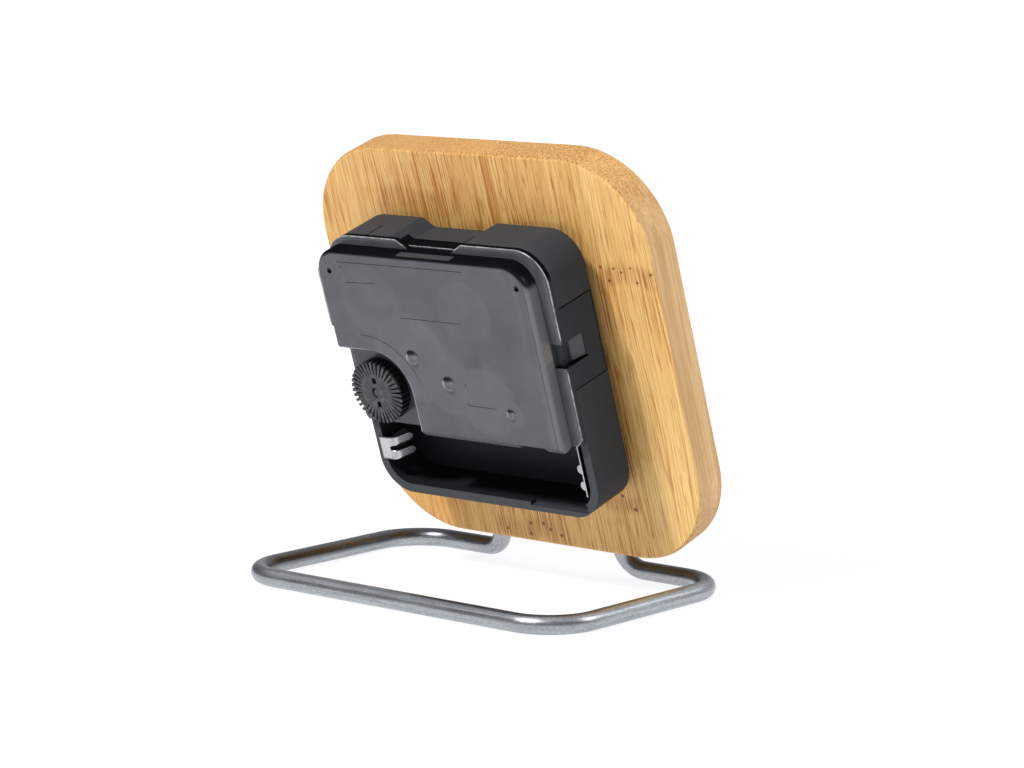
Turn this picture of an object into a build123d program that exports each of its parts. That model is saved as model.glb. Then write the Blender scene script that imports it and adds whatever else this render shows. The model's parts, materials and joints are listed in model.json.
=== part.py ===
from build123d import *
from math import atan2, cos, degrees, hypot, radians, sin, tan
import os

# A desk clock: a square bamboo plate that leans back on a bent wire stand,
# with a quartz movement behind it and three hands in front.
#
# Every piece but the stand is drawn in the plate's own frame, seen from behind:
# X to the viewer's right, Y up along the plate, Z out of its back face.
# The origin is where the hands' axis meets that face. Lengths are in millimetres.

# General clearances
overrun = 1.0          # how far every cut runs past the face it opens
fit_gap = 0.02         # pressed joints, per side
run_gap = 0.05         # shafts turning in bores, per side
loose_gap = 0.25       # pieces that pass or lie beside each other

# Bamboo plate
plate_side = 84.0
plate_thick = 7.5
plate_corner = 19.0
plate_edge_round = 0.7
plate_drop = 1.15      # the plate's middle lies this far below the hands' axis
plate_lean = 17.8      # degrees back from upright
plate_lift = 5.4       # height of the back bottom edge above the table
mark_count = 12
mark_ring = 37.0       # outer ends of the engraved hour marks
mark_length = 3.6
quarter_mark_length = 6.0
mark_width = 1.3
mark_depth = 0.3

# Wire stand
wire_dia = 3.7
stand_width = 82.0     # between the middles of the side bars
stand_reach = 46.4     # from the plate's back bottom edge to the middle of the back bar
pin_spacing = 31.4
pin_depth = 13.0
pin_bend = 4.7
front_bend = 10.5
back_bend = 10.0
pin_hole_spare = 1.0

# Movement case
case_side = 56.0
case_corner = 7.0
case_wall = 1.8
case_top_wall = 3.6
case_floor = 1.5
case_height = 10.2
case_edge_round = 0.4
hanger_depth = 1.8     # the hanging notch in the top wall
hanger_floor_left = -8.4
hanger_floor_right = 5.2
hanger_slope = 2.8
slit_inset = 11.0      # from the case's left side
slit_width = 0.35
slit_depth = 0.5
slit_length = 4.8
post_radius = 1.0
post_inset = 1.4       # of the posts from the train plate's edges

# Gasket, bush, washer and nut
gasket_thick = 2.6
gasket_radius = 11.0
bush_radius = 4.0
bush_collar_radius = 6.0
bush_collar_thick = 1.2
bush_tail = 3.4        # how far the bush stands out of the plate's front
thread_pitch = 0.75
thread_depth = 0.25
washer_radius = 6.5
washer_thick = 0.8
nut_flats = 10.0
nut_thick = 2.0

# Battery bay: what the case leaves under the gear train, enough for one AA cell
train_room = 0.65      # between the minute wheel's rim and the partition
partition_wall = 1.2
finger_notch_inset = 3.5    # from the case's right side
finger_notch_width = 14.5
finger_notch_depth = 0.7
finger_notch_height = 1.6

# Movement lid
flange_thick = 1.2
flange_over = 2.4      # how far the flange reaches over the hanging notch's left slope
lid_height = 4.5
lid_wall = 1.2
lid_left_over = 0.5    # the raised part stands out this far past the case's left side
lid_right_inset = 2.8
lid_top_inset = 1.8
lid_corner = 5.6
lid_foot_corner = 1.2
lid_edge_round = 0.9
lid_foot_reach = 1.5   # how far the lid's foot hangs over the bay
lid_foot_chamfer = 1.7
lid_side_step = 1.0
lid_side_step_top = 9.8
foot_corner_cut = 2.4
foot_notch_inset = 7.4      # from the case's right side
foot_notch_width = 6.6
foot_notch_depth = 1.3
foot_notch_height = 2.2
well_side_room = 3.3   # the sunk floor round the knob, past the knob's rim
well_top_room = 2.6
well_bend = 8.5
tongue_left = -6.3
tongue_right = 8.3
tongue_drop = 0.8
dome_radius = 1.6
dome_height = 0.9
small_dome_radius = 1.1
small_dome_height = 0.6
gate_hole_radius = 0.6
gate_hole_depth = 0.7
gate_left_inset = 3.0  # the two moulding marks in the lid's top corners
gate_right_inset = 5.1
gate_top_inset = 6.25
boss_radius = 1.6

# Snap tab of the lid and the hook that holds it, on the right side wall
tab_low = -0.4
tab_high = 15.9
tab_thick = 1.5
tab_foot = 0.7         # the tab stops this far short of the case front
tab_back_wall = 1.7
window_low = 4.4
window_high = 9.3
window_foot = 4.6      # above the case front
hook_height = 3.2
hook_reach = 1.3
hook_tip = 0.5

# Battery contacts
sheet_thick = 0.3
neg_width = 4.8
neg_reach = 3.6        # how far the tab reaches in from the case wall's outer side
neg_lip = 0.8          # the rim that stays outside the tab
neg_leg_length = 7.0
neg_leg_inset = 0.6
neg_slot_width = 0.9
neg_slot_length = 0.7
prong_drop = 4.2
prong_lean = 1.7
pos_inset = 1.2        # gap between the strip and the case wall
pos_foot_gap = 2.8     # from the bay's bottom wall
pos_head_gap = 0.5     # from the partition
pos_height = 7.6
pos_top_gap = 0.3
pos_bump_radius = 0.95
pos_bump_length = 3.4
pos_bump_rises = (1.2, -2.3)    # from the middle of the bay
pos_rib_width = 1.0

# Setting knob
knob_place_shares = (-0.732, -0.15)     # of the case's half side, from the hands' axis
knob_radius = 6.5
knob_height = 2.5
knob_gap = 0.4         # between the knob and the lid's floor
knob_hub_radius = 3.9
knob_rib_count = 36
knob_rib_width = 0.55
knob_rib_height = 0.6
knob_rib_step = 0.3    # the ribs stand out this far past the disc
knob_socket_width = 1.0
knob_socket_length = 1.3
knob_socket_depth = 0.6
knob_socket_place = 2.5
knob_arc_radius = 1.2
knob_arc_width = 0.5
stem_radius = 1.5
stem_pivot_radius = 1.0

# Gear train
wheel_thick = 0.8
layer_gap = 0.4
pinion_over = 0.1      # a pinion is this much longer than its wheel is thick, at each end
addendum_share = 0.85
dedendum_share = 1.15
tooth_root_share = 0.58
tooth_tip_share = 0.24
cannon_teeth = 12
minute_teeth = 36
setting_teeth = 20
minute_pinion_teeth = 8
hour_teeth = 32
second_pinion_teeth = 8
third_teeth = 60
third_pinion_teeth = 8
centre_teeth = 64
second_teeth = 60
intermediate_pinion_teeth = 12
intermediate_teeth = 60
rotor_pinion_teeth = 10
third_place_shares = (-0.289, 0.171)    # of the case's half side, from the hands' axis
rotor_place_shares = (0.518, -0.175)
intermediate_share = 0.62   # of the way from the hands' axis to the rotor
arbor_radius = 0.7
pivot_radius = 0.45
pivot_length = 1.7
post_pin_radius = 0.8
second_arbor_radius = 0.5
minute_pipe_radius = 1.5
hour_pipe_radius = 2.5
train_plate_thick = 1.0
train_plate_left_room = 5.9     # past the third arbor
train_plate_rotor_room = 2.1    # past the rotor
train_plate_foot_room = 4.0     # above the rotor
train_plate_low_gap = 0.5       # from the partition
train_plate_board_gap = 2.0
train_plate_coil_gap = 0.5
train_plate_corner = 1.5
spoke_count = 4
wheel_rim_share = 0.78
wheel_hub_share = 0.34
spoke_share = 0.16

# Stepping motor
magnet_radius = 2.4
magnet_gap = 0.5
stator_thick = 0.8
stator_arbor_gap = 2.5      # between the intermediate arbor and the stator's leg
stator_coil_gap = 0.6
stator_foot_width = 4.2
stator_foot_drop = 3.1      # below the rotor
core_width = 2.4
core_thick = 0.8
core_rise = 5.9             # above the rotor
core_top_gap = 0.4
core_lap = 2.5
coil_wall_gap = 1.05
bobbin_gap = 1.0
bobbin_side = 6.4
bobbin_flange = 0.9
bobbin_wall = 0.7
winding_side = 5.8

# Circuit board
board_wall_gap = 2.2
board_stator_gap = 2.7
board_wheel_gap = 1.1
board_top_gap = 0.6
board_thick = 1.0
board_rise = 4.9       # above the case floor
board_post_inset = 3.8
chip_share = 0.62      # of the way along the board
chip_radius = 2.6
chip_height = 0.9
crystal_share = 0.33
crystal_radius = 1.0
crystal_length = 6.0

# Hands
hand_thick = 0.4
hand_gap = 0.6
hand_hub_share = 1.7        # hub radius as a share of the pipe it sits on
hand_tip_share = 0.45       # width at the tip as a share of the widest
hour_hand_length = 21.0
hour_hand_width = 3.2
hour_hand_angle = 305.0     # degrees clockwise from twelve, seen from the front
minute_hand_length = 31.0
minute_hand_width = 2.6
minute_hand_angle = 60.0
second_hand_length = 32.0
second_hand_width = 1.0
second_hand_tail = 8.0
second_hand_angle = 0.0
second_hub_radius = 1.6

# Levels above the plate's back face
case_front = gasket_thick
case_inner = case_front + case_floor
case_rim = case_front + case_height
flange_top = case_rim + flange_thick
lid_top = case_rim + lid_height
lid_inner = lid_top - lid_wall
hour_low = case_inner + layer_gap
hour_high = hour_low + wheel_thick
minute_low = hour_high + layer_gap
minute_high = minute_low + wheel_thick
train_low = minute_high + layer_gap
train_high = train_low + train_plate_thick
centre_low = train_high + layer_gap
centre_high = centre_low + wheel_thick
third_low = centre_high + layer_gap
third_high = third_low + wheel_thick
second_low = third_high + layer_gap
second_high = second_low + wheel_thick
intermediate_low = second_high + layer_gap
intermediate_high = intermediate_low + wheel_thick
boss_low = intermediate_high + layer_gap
plate_front = -plate_thick
bush_end = plate_front - bush_tail
hour_hand_high = bush_end - layer_gap
minute_hand_high = hour_hand_high - hand_thick - hand_gap
second_hand_high = minute_hand_high - hand_thick - hand_gap

# Places worked out from those sizes, gears first
half = case_side / 2
inner_half = half - case_wall
knob_place = tuple(share * half for share in knob_place_shares)
third_place = tuple(share * half for share in third_place_shares)
rotor_place = tuple(share * half for share in rotor_place_shares)
intermediate_place = tuple(intermediate_share * p for p in rotor_place)
knob_angle = degrees(atan2(knob_place[1], knob_place[0]))
third_angle = degrees(atan2(third_place[1], third_place[0]))
rotor_angle = degrees(atan2(rotor_place[1], rotor_place[0]))
setting_module = 2 * hypot(*knob_place) / (cannon_teeth + 2 * minute_teeth + setting_teeth)
minute_reach = setting_module * (cannon_teeth + minute_teeth) / 2
minute_place = (minute_reach * cos(radians(knob_angle)), minute_reach * sin(radians(knob_angle)))
hour_module = 2 * minute_reach / (minute_pinion_teeth + hour_teeth)
third_module = 2 * hypot(*third_place) / (second_pinion_teeth + third_teeth)
centre_module = 2 * hypot(*third_place) / (third_pinion_teeth + centre_teeth)
intermediate_reach = intermediate_share * hypot(*rotor_place)
second_module = 2 * intermediate_reach / (second_teeth + intermediate_pinion_teeth)
rotor_reach = hypot(*rotor_place) - intermediate_reach
rotor_module = 2 * rotor_reach / (intermediate_teeth + rotor_pinion_teeth)
minute_rim = (minute_teeth / 2 + addendum_share) * setting_module
hour_rim = (hour_teeth / 2 + addendum_share) * hour_module
third_rim = (third_teeth / 2 + addendum_share) * third_module

# the case's rooms and the lid over them
chamber_low = minute_place[1] - minute_rim - train_room
chamber_high = half - case_top_wall
bay_high = chamber_low - partition_wall
bay_middle = (bay_high - inner_half) / 2
bay_radius = (bay_high + inner_half) / 2
lid_foot = bay_high - lid_foot_reach
tab_recess = half - tab_thick - loose_gap
knob_low = flange_top + knob_gap
knob_high = knob_low + knob_height
well_right = knob_place[0] + knob_radius + well_side_room
well_top = knob_place[1] + knob_radius + well_top_room
neg_low = bay_middle - neg_width / 2
neg_high = bay_middle + neg_width / 2
pos_low = pos_foot_gap - inner_half
pos_high = bay_high - pos_head_gap

# the motor beside the train, the board above it and the plate that carries the train
core_place = tab_recess - tab_back_wall - coil_wall_gap - bobbin_side / 2
core_low = rotor_place[1] + core_rise
core_high = chamber_high - core_top_gap
bobbin_low = core_low + core_lap + bobbin_gap
bobbin_high = core_high - core_lap - bobbin_gap
bobbin_left = core_place - bobbin_side / 2
stator_ring = rotor_reach - arbor_radius - loose_gap
leg_left = intermediate_place[0] + arbor_radius + stator_arbor_gap
leg_right = bobbin_left - stator_coil_gap
board_left = board_wall_gap - inner_half
board_right = leg_left - board_stator_gap
board_low = third_place[1] + third_rim + board_wheel_gap
board_high = chamber_high - board_top_gap
board_middle = (board_low + board_high) / 2
train_plate_left = third_place[0] - train_plate_left_room
train_plate_right = bobbin_left - train_plate_coil_gap
train_plate_low = chamber_low + train_plate_low_gap
train_plate_high = board_low - train_plate_board_gap
train_foot_right = rotor_place[0] + train_plate_rotor_room
post_places = (
    (train_plate_left + post_inset, train_plate_high - post_inset),
    (train_plate_right - post_inset, train_plate_high - post_inset),
    (train_foot_right - post_inset, train_plate_low + post_inset),
    (0, -hour_rim - post_radius - loose_gap),
)
board_post_places = (
    (board_left + board_post_inset, board_middle),
    (board_right - board_post_inset, board_middle),
)
chip_place = (board_left + chip_share * (board_right - board_left), board_middle)
crystal_place = (board_left + crystal_share * (board_right - board_left), board_middle)


# Plain shapes in the plate's frame

def block(left, right, low, high, bottom, top):
    middle = Pos((left + right) / 2, (low + high) / 2, (bottom + top) / 2)
    return middle * Box(right - left, high - low, top - bottom)


def rod(place, radius, bottom, top):
    return Pos(place[0], place[1], (bottom + top) / 2) * Cylinder(radius, top - bottom)


def prism(face, bottom, top):
    return Pos(0, 0, bottom) * extrude(face, top - bottom)


# Gears

def tooth_angle(teeth):
    return 360 / teeth


def gear_face(teeth, module, phase):
    # straight-flanked teeth, narrow enough to run free at every angle
    pitch_radius = teeth * module / 2
    root = pitch_radius - dedendum_share * module
    tip = pitch_radius + addendum_share * module
    points = []
    for tooth in range(teeth):
        middle = phase + tooth * tooth_angle(teeth)
        for radius, share in (
            (root, -tooth_root_share), (tip, -tooth_tip_share), (tip, tooth_tip_share), (root, tooth_root_share)
        ):
            angle = radians(middle + share * tooth_angle(teeth) / 2)
            points.append((radius * cos(angle), radius * sin(angle)))
    return make_face(Polyline(*points, close=True))


def mesh_phase(phase, teeth, mate_teeth, direction):
    # the mate's tooth angle, so that its gap meets the first gear's tooth on the line of centres
    return direction + 180 + (direction - phase) * teeth / mate_teeth + tooth_angle(mate_teeth) / 2


def gear(teeth, module, phase, bottom, top):
    return prism(gear_face(teeth, module, phase), bottom, top)


def wheel(teeth, module, phase, bottom, top):
    # a wheel with its web opened between spokes
    root = (teeth / 2 - dedendum_share) * module
    rim = wheel_rim_share * root
    hub = wheel_hub_share * root
    opening = Circle(rim) - Circle(hub)
    for spoke in range(spoke_count):
        opening -= Rot(0, 0, spoke * 360 / spoke_count) * Pos(rim / 2, 0) * Rectangle(rim, spoke_share * root)
    return gear(teeth, module, phase, bottom, top) - prism(opening, bottom - overrun, top + overrun)


# Plate

def engraved_marks():
    cuts = Part()
    for mark in range(mark_count):
        length = mark_length if mark % 3 else quarter_mark_length
        angle = mark * 360 / mark_count
        bar = block(-mark_width / 2, mark_width / 2, mark_ring - length, mark_ring,
                    plate_front - overrun, plate_front + mark_depth)
        cuts += Rot(0, 0, angle) * bar
    return cuts


def bamboo_plate():
    face = RectangleRounded(plate_side, plate_side, plate_corner)
    plate = Pos(0, -plate_drop, 0) * prism(face, plate_front, 0)
    plate = fillet(plate.edges().group_by(Axis.Z)[0] + plate.edges().group_by(Axis.Z)[-1], plate_edge_round)
    plate -= rod((0, 0), bush_radius + loose_gap, plate_front - overrun, overrun)
    bottom = -plate_drop - plate_side / 2
    depth = pin_depth + pin_hole_spare
    for side in (-1, 1):
        hole = Cylinder(wire_dia / 2 + run_gap, depth + overrun)
        middle = Pos(side * pin_spacing / 2, bottom + (depth - overrun) / 2, plate_front / 2)
        plate -= middle * Rot(90, 0, 0) * hole
    return plate - engraved_marks()


# Stand, in the table's frame: X as the plate's width, Y to the back, Z up

def wire_stand():
    lean = radians(plate_lean)
    radius = wire_dia / 2
    mouth_y = plate_front / 2 * cos(lean)
    mouth_z = plate_lift - plate_front / 2 * sin(lean)
    foot_y = mouth_y - tan(lean) * (mouth_z - radius)
    top_y = mouth_y + pin_depth * sin(lean)
    top_z = mouth_z + pin_depth * cos(lean)
    pin_x = pin_spacing / 2
    side_x = stand_width / 2
    half_path = [
        (pin_x, top_y, top_z),
        (pin_x, foot_y, radius),
        (side_x, foot_y, radius),
        (side_x, stand_reach, radius),
    ]
    mirrored = [(-x, y, z) for x, y, z in reversed(half_path)]
    bends = [pin_bend, front_bend, back_bend, back_bend, front_bend, pin_bend]
    path = FilletPolyline(*half_path, *mirrored, radius=bends)
    start = Plane(path @ 0, z_dir=path % 0)
    return sweep(start * Circle(radius), path=path)


# Case

def case_face(notch_inset):
    floor = half - hanger_depth
    floor_left = hanger_floor_left + notch_inset
    notch = Polyline(
        (floor_left - hanger_slope, half),
        (floor_left, floor),
        (hanger_floor_right, floor),
        (hanger_floor_right + hanger_slope, half),
        close=True,
    )
    return RectangleRounded(case_side, case_side, case_corner) - make_face(notch)


def case_hollows():
    inside = prism(RectangleRounded(2 * inner_half, 2 * inner_half, case_corner - case_wall),
                   case_inner, case_rim + overrun)
    chamber = inside & block(-half, half, chamber_low, chamber_high, case_inner, case_rim + overrun)
    bay = inside & block(-half, half, -half, bay_high, case_inner, case_rim + overrun)
    return chamber + bay


def tab_seat():
    # the wall behind the lid's tab is set in by the tab's thickness
    wall = block(tab_recess - tab_back_wall, half - case_wall, tab_low - case_wall, tab_high + case_wall,
                 case_inner, case_rim)
    recess = block(tab_recess, half + overrun, tab_low - loose_gap, tab_high + loose_gap,
                   case_front + tab_foot - loose_gap, case_rim + overrun)
    return wall, recess


def snap_hook():
    # wedge on the recessed wall, thick at its foot, that the window's lower bar springs under
    foot = case_front + window_foot + loose_gap
    left = tab_recess
    profile = Polyline(
        (left, foot),
        (left + hook_reach, foot),
        (left + hook_tip, foot + hook_height),
        (left, foot + hook_height),
        close=True,
    )
    width = window_high - window_low - 2 * loose_gap
    wedge = extrude(Plane.XZ * make_face(profile), -width)
    return Pos(0, window_low + loose_gap, 0) * wedge


def case_posts():
    posts = Part()
    for place in post_places:
        posts += rod(place, post_radius, case_inner, train_low)
    for place in board_post_places:
        posts += rod(place, post_radius, case_inner, case_inner + board_rise)
    for height in (core_low + core_lap / 2, core_high - core_lap / 2):
        posts += rod((core_place, height), post_radius, case_inner, third_low - core_thick)
    posts += rod(minute_place, post_pin_radius, case_inner, minute_high + pinion_over)
    posts += rod(knob_place, stem_radius + case_wall, case_inner, hour_high)
    return posts - rod(knob_place, stem_pivot_radius + run_gap, case_inner, case_rim)


def contact_ribs():
    ribs = Part()
    strip_back = inner_half - pos_inset
    for low in (pos_low, pos_high - pos_rib_width):
        ribs += block(strip_back, inner_half, low, low + pos_rib_width, case_inner, case_rim - pos_height / 2)
    return ribs


def movement_case():
    case = prism(case_face(0), case_front, case_rim)
    case = fillet(case.edges().group_by(Axis.Z)[0], case_edge_round)
    case -= case_hollows()
    wall, recess = tab_seat()
    case = case + wall - recess + snap_hook() + case_posts() + contact_ribs()
    case -= rod((0, 0), bush_radius + fit_gap, case_front - overrun, case_inner + overrun)
    case -= block(-half + neg_lip, -inner_half + overrun, neg_low - loose_gap, neg_high + loose_gap,
                  case_rim - sheet_thick, case_rim + overrun)
    finger_right = half - finger_notch_inset
    case -= block(finger_right - finger_notch_width, finger_right, -inner_half - finger_notch_depth,
                  -inner_half + overrun, case_rim - finger_notch_height, case_rim + overrun)
    slit = slit_inset - half
    case -= block(slit - slit_width / 2, slit + slit_width / 2, half - slit_depth, half + overrun,
                  case_rim - slit_length, case_rim + overrun)
    return case


# Lid

def well_face(grow):
    # the sunk corner round the knob, grown by a wall's thickness for the hollow inside
    left = -half - overrun
    low = -half - overrun
    right = well_right + grow
    high = well_top + grow
    corner = Pos((left + right) / 2, (low + high) / 2) * Rectangle(right - left, high - low)
    inner = corner.vertices().sort_by(Axis.Y)[-2:].sort_by(Axis.X)[-1]
    return fillet(inner, well_bend + grow)


def raised_face(inset, low):
    left = -half - lid_left_over + inset
    right = half - lid_right_inset - inset
    high = half - lid_top_inset - inset
    face = Pos((left + right) / 2, (low + high) / 2) * Rectangle(right - left, high - low)
    face = fillet(face.vertices().group_by(Axis.Y)[-1], lid_corner - inset)
    return fillet(face.vertices().group_by(Axis.Y)[0], lid_foot_corner) - well_face(inset)


def lid_raised():
    raised = prism(raised_face(0, lid_foot), case_rim, lid_top)
    raised = fillet(raised.faces().sort_by(Axis.Z)[-1].edges(), lid_edge_round)
    step = -half - lid_left_over
    raised -= block(step - overrun, step + lid_side_step, well_top - overrun, lid_side_step_top,
                    case_rim - overrun, lid_top + overrun)
    corner = Polyline((lid_foot, lid_top - lid_foot_chamfer), (lid_foot, lid_top),
                      (lid_foot + lid_foot_chamfer, lid_top), close=True)
    return raised - Pos(-case_side, 0, 0) * extrude(Plane.YZ * make_face(corner), 2 * case_side)


def lid_hollow():
    return prism(raised_face(lid_side_step + lid_wall, chamber_low), case_rim - overrun, lid_inner)


def dome(place, radius, height):
    ball = (radius ** 2 + height ** 2) / (2 * height)
    sphere = Pos(*place, lid_top + height - ball) * Sphere(ball)
    return sphere & rod(place, radius, lid_top - lid_wall / 2, lid_top + height)


def lid_bosses():
    bosses = Part()
    for place in ((0, 0), third_place, rotor_place, intermediate_place):
        bosses += rod(place, boss_radius, boss_low, lid_inner)
    return bosses


def boss_bores():
    bores = rod((0, 0), second_arbor_radius + run_gap, boss_low - overrun, boss_low + pivot_length + loose_gap)
    for place in (third_place, rotor_place, intermediate_place):
        bores += rod(place, pivot_radius + run_gap, boss_low - overrun, boss_low + pivot_length + loose_gap)
    return bores


def lid_tab():
    tab = block(half - tab_thick, half, tab_low, tab_high, case_front + tab_foot, flange_top)
    window = block(half - lid_right_inset, half + overrun, window_low, window_high,
                   case_front + window_foot, flange_top + overrun)
    return tab, window


def foot_cuts():
    cell = Pos(0, bay_middle, case_inner + bay_radius) * Rot(0, 90, 0) * Cylinder(bay_radius, case_side)
    notch_right = half - foot_notch_inset
    notch = block(notch_right - foot_notch_width, notch_right, lid_foot - overrun, lid_foot + foot_notch_depth,
                  lid_top - foot_notch_height, lid_top + overrun)
    corner = Polyline((half - foot_corner_cut, lid_foot), (half, lid_foot), (half, lid_foot + foot_corner_cut),
                      close=True)
    return cell + notch + prism(make_face(corner), case_rim - overrun, lid_top + overrun)


def movement_lid():
    flange = prism(case_face(flange_over), case_rim, flange_top)
    flange &= block(-half, half, lid_foot, half, case_rim, flange_top)
    flange = fillet(flange.edges().filter_by(Axis.Z).group_by(Axis.Y)[0].sort_by(Axis.X)[0], lid_corner / 2)
    tongue = block(tongue_left, tongue_right, chamber_high, half - hanger_depth,
                   case_rim, lid_top - tongue_drop)
    tab, window = lid_tab()
    lid = flange + lid_raised() + tongue + tab
    lid = lid - lid_hollow() - window + lid_bosses() - boss_bores() - foot_cuts()
    lid -= rod(knob_place, stem_radius + run_gap, case_rim - overrun, flange_top + overrun)
    for across in (gate_left_inset - half, half - gate_right_inset):
        lid -= rod((across, half - gate_top_inset), gate_hole_radius,
                   lid_top - gate_hole_depth, lid_top + overrun)
    lid += dome(third_place, dome_radius, dome_height)
    lid += dome((0, 0), dome_radius, dome_height)
    return lid + dome(rotor_place, small_dome_radius, small_dome_height)


# What holds the movement to the plate

def rubber_gasket():
    ring = rod((0, 0), gasket_radius, 0, case_front)
    return ring - rod((0, 0), bush_collar_radius + loose_gap, -overrun, case_front + overrun)


def threaded_bush():
    bush = rod((0, 0), bush_radius, bush_end, case_inner)
    turns = int((bush_tail + plate_thick / 2) / thread_pitch)
    for turn in range(turns):
        groove_low = bush_end + thread_pitch * (turn + 1) - thread_pitch / 2
        groove = rod((0, 0), bush_radius + overrun, groove_low, groove_low + thread_pitch / 2)
        bush -= groove - rod((0, 0), bush_radius - thread_depth, groove_low, groove_low + thread_pitch / 2)
    bush += rod((0, 0), bush_collar_radius, case_front - bush_collar_thick, case_front)
    return bush - rod((0, 0), hour_pipe_radius + run_gap, bush_end - overrun, case_inner + overrun)


def washer():
    low = plate_front - washer_thick
    ring = rod((0, 0), washer_radius, low, plate_front)
    return ring - rod((0, 0), bush_radius + run_gap, low - overrun, plate_front + overrun)


def hex_nut():
    high = plate_front - washer_thick
    body = prism(RegularPolygon(nut_flats / 2, 6, major_radius=False), high - nut_thick, high)
    return body - rod((0, 0), bush_radius + run_gap, high - nut_thick - overrun, high + overrun)


# Battery contacts

def negative_contact():
    left = -half + neg_lip
    right = -half + neg_lip + neg_reach
    low = case_rim - sheet_thick
    plate = block(left, right, neg_low, neg_high, low, case_rim)
    corner_end = case_corner - case_wall - inner_half
    leg = block(-inner_half, -inner_half + sheet_thick, corner_end + loose_gap, neg_high - neg_leg_inset,
                case_rim - neg_leg_length, case_rim)
    profile = Polyline(
        (right - sheet_thick, case_rim),
        (right, case_rim),
        (right + prong_lean, case_rim - prong_drop),
        (right + prong_lean - sheet_thick, case_rim - prong_drop),
        (right - sheet_thick, low),
        close=True,
    )
    prongs = Pos(0, neg_low, 0) * extrude(Plane.XZ * make_face(profile), -neg_width)
    slot = block(right - neg_slot_length, right + prong_lean + overrun,
                 bay_middle - neg_slot_width / 2, bay_middle + neg_slot_width / 2,
                 case_rim - prong_drop - overrun, case_rim + overrun)
    return plate + leg + prongs - slot


def positive_contact():
    back = inner_half - pos_inset
    front = back - sheet_thick
    top = case_rim - pos_top_gap
    strip = block(front, back, pos_low, pos_high, top - pos_height, top)
    for rise in pos_bump_rises:
        bump = rod((front, bay_middle + rise), pos_bump_radius, top - pos_bump_length, top)
        strip += bump & block(front - pos_bump_radius, back, pos_low, pos_high, top - pos_height, top)
    return strip


# Motion work and setting

def minute_pipe():
    top = centre_high + pinion_over
    pipe = rod((0, 0), minute_pipe_radius, minute_hand_high - hand_thick, top)
    pipe += gear(cannon_teeth, setting_module, knob_angle, minute_low - pinion_over, minute_high + pinion_over)
    return pipe - rod((0, 0), second_arbor_radius + run_gap,
                      minute_hand_high - hand_thick - overrun, top + overrun)


def minute_wheel():
    phase = mesh_phase(knob_angle, cannon_teeth, minute_teeth, knob_angle)
    body = wheel(minute_teeth, setting_module, phase, minute_low, minute_high)
    body += gear(minute_pinion_teeth, hour_module, knob_angle + 180, hour_low - pinion_over, minute_high)
    body -= rod((0, 0), post_pin_radius + run_gap, hour_low - overrun, minute_high + overrun)
    return Pos(*minute_place, 0) * body


def hour_wheel():
    phase = mesh_phase(knob_angle + 180, minute_pinion_teeth, hour_teeth, knob_angle + 180)
    body = gear(hour_teeth, hour_module, phase, hour_low, hour_high)
    body += rod((0, 0), hour_pipe_radius, hour_hand_high - hand_thick, hour_high)
    return body - rod((0, 0), minute_pipe_radius + run_gap,
                      hour_hand_high - hand_thick - overrun, hour_high + overrun)


def setting_gear():
    minute_phase = mesh_phase(knob_angle, cannon_teeth, minute_teeth, knob_angle)
    phase = mesh_phase(minute_phase, minute_teeth, setting_teeth, knob_angle)
    body = gear(setting_teeth, setting_module, phase, minute_low, minute_high)
    body -= rod((0, 0), stem_radius + fit_gap, minute_low - overrun, minute_high + overrun)
    return Pos(*knob_place, 0) * body


def setting_knob():
    face = knob_high - knob_rib_height
    knob = rod((0, 0), knob_radius - knob_rib_step, knob_low, face)
    knob += rod((0, 0), knob_hub_radius, face, knob_high)
    rib = block(knob_hub_radius - knob_rib_step, knob_radius, -knob_rib_width / 2, knob_rib_width / 2,
                knob_low, knob_high)
    knob += [Rot(0, 0, rib_number * 360 / knob_rib_count) * rib for rib_number in range(knob_rib_count)]
    for side in (-1, 1):
        middle = side * knob_socket_place
        knob -= block(-knob_socket_width / 2, knob_socket_width / 2,
                      middle - knob_socket_length / 2, middle + knob_socket_length / 2,
                      knob_high - knob_socket_depth, knob_high + overrun)
    arc = Circle(knob_arc_radius) - Circle(knob_arc_radius - knob_arc_width)
    arc &= Pos(-knob_arc_radius, 0) * Rectangle(2 * knob_arc_radius, 2 * knob_arc_radius)
    knob -= prism(arc, knob_high - knob_socket_depth, knob_high + overrun)
    knob += rod((0, 0), stem_radius, minute_low, knob_low)
    knob += rod((0, 0), stem_pivot_radius, case_inner + loose_gap, minute_low)
    return Pos(*knob_place, 0) * knob


# Going train

def plate_face(left, right, low, high, corner):
    return Pos((left + right) / 2, (low + high) / 2) * RectangleRounded(right - left, high - low, corner)


def train_plate():
    face = plate_face(train_plate_left, train_plate_right, train_plate_low, train_plate_high,
                      train_plate_corner)
    foot_high = rotor_place[1] + train_plate_foot_room
    face += plate_face(0, train_foot_right, train_plate_low, foot_high, train_plate_corner)
    plate = prism(face, train_low, train_high)
    plate -= rod((0, 0), minute_pipe_radius + run_gap, train_low - overrun, train_high + overrun)
    for place in (third_place, intermediate_place, rotor_place):
        plate -= rod(place, pivot_radius + run_gap, train_low - overrun, train_high + overrun)
    return plate


def arbor(bottom, top):
    # a moulded arbor between its wheel's pinion and the lid's boss, with a pivot at each end
    body = rod((0, 0), arbor_radius, bottom, top)
    body += rod((0, 0), pivot_radius, train_low + pinion_over, bottom)
    return body + rod((0, 0), pivot_radius, top, boss_low + pivot_length)


def centre_wheel():
    phase = mesh_phase(third_angle + 180, third_pinion_teeth, centre_teeth, third_angle + 180)
    body = wheel(centre_teeth, centre_module, phase, centre_low, centre_high)
    return body - rod((0, 0), minute_pipe_radius + run_gap, centre_low - overrun, centre_high + overrun)


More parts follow.
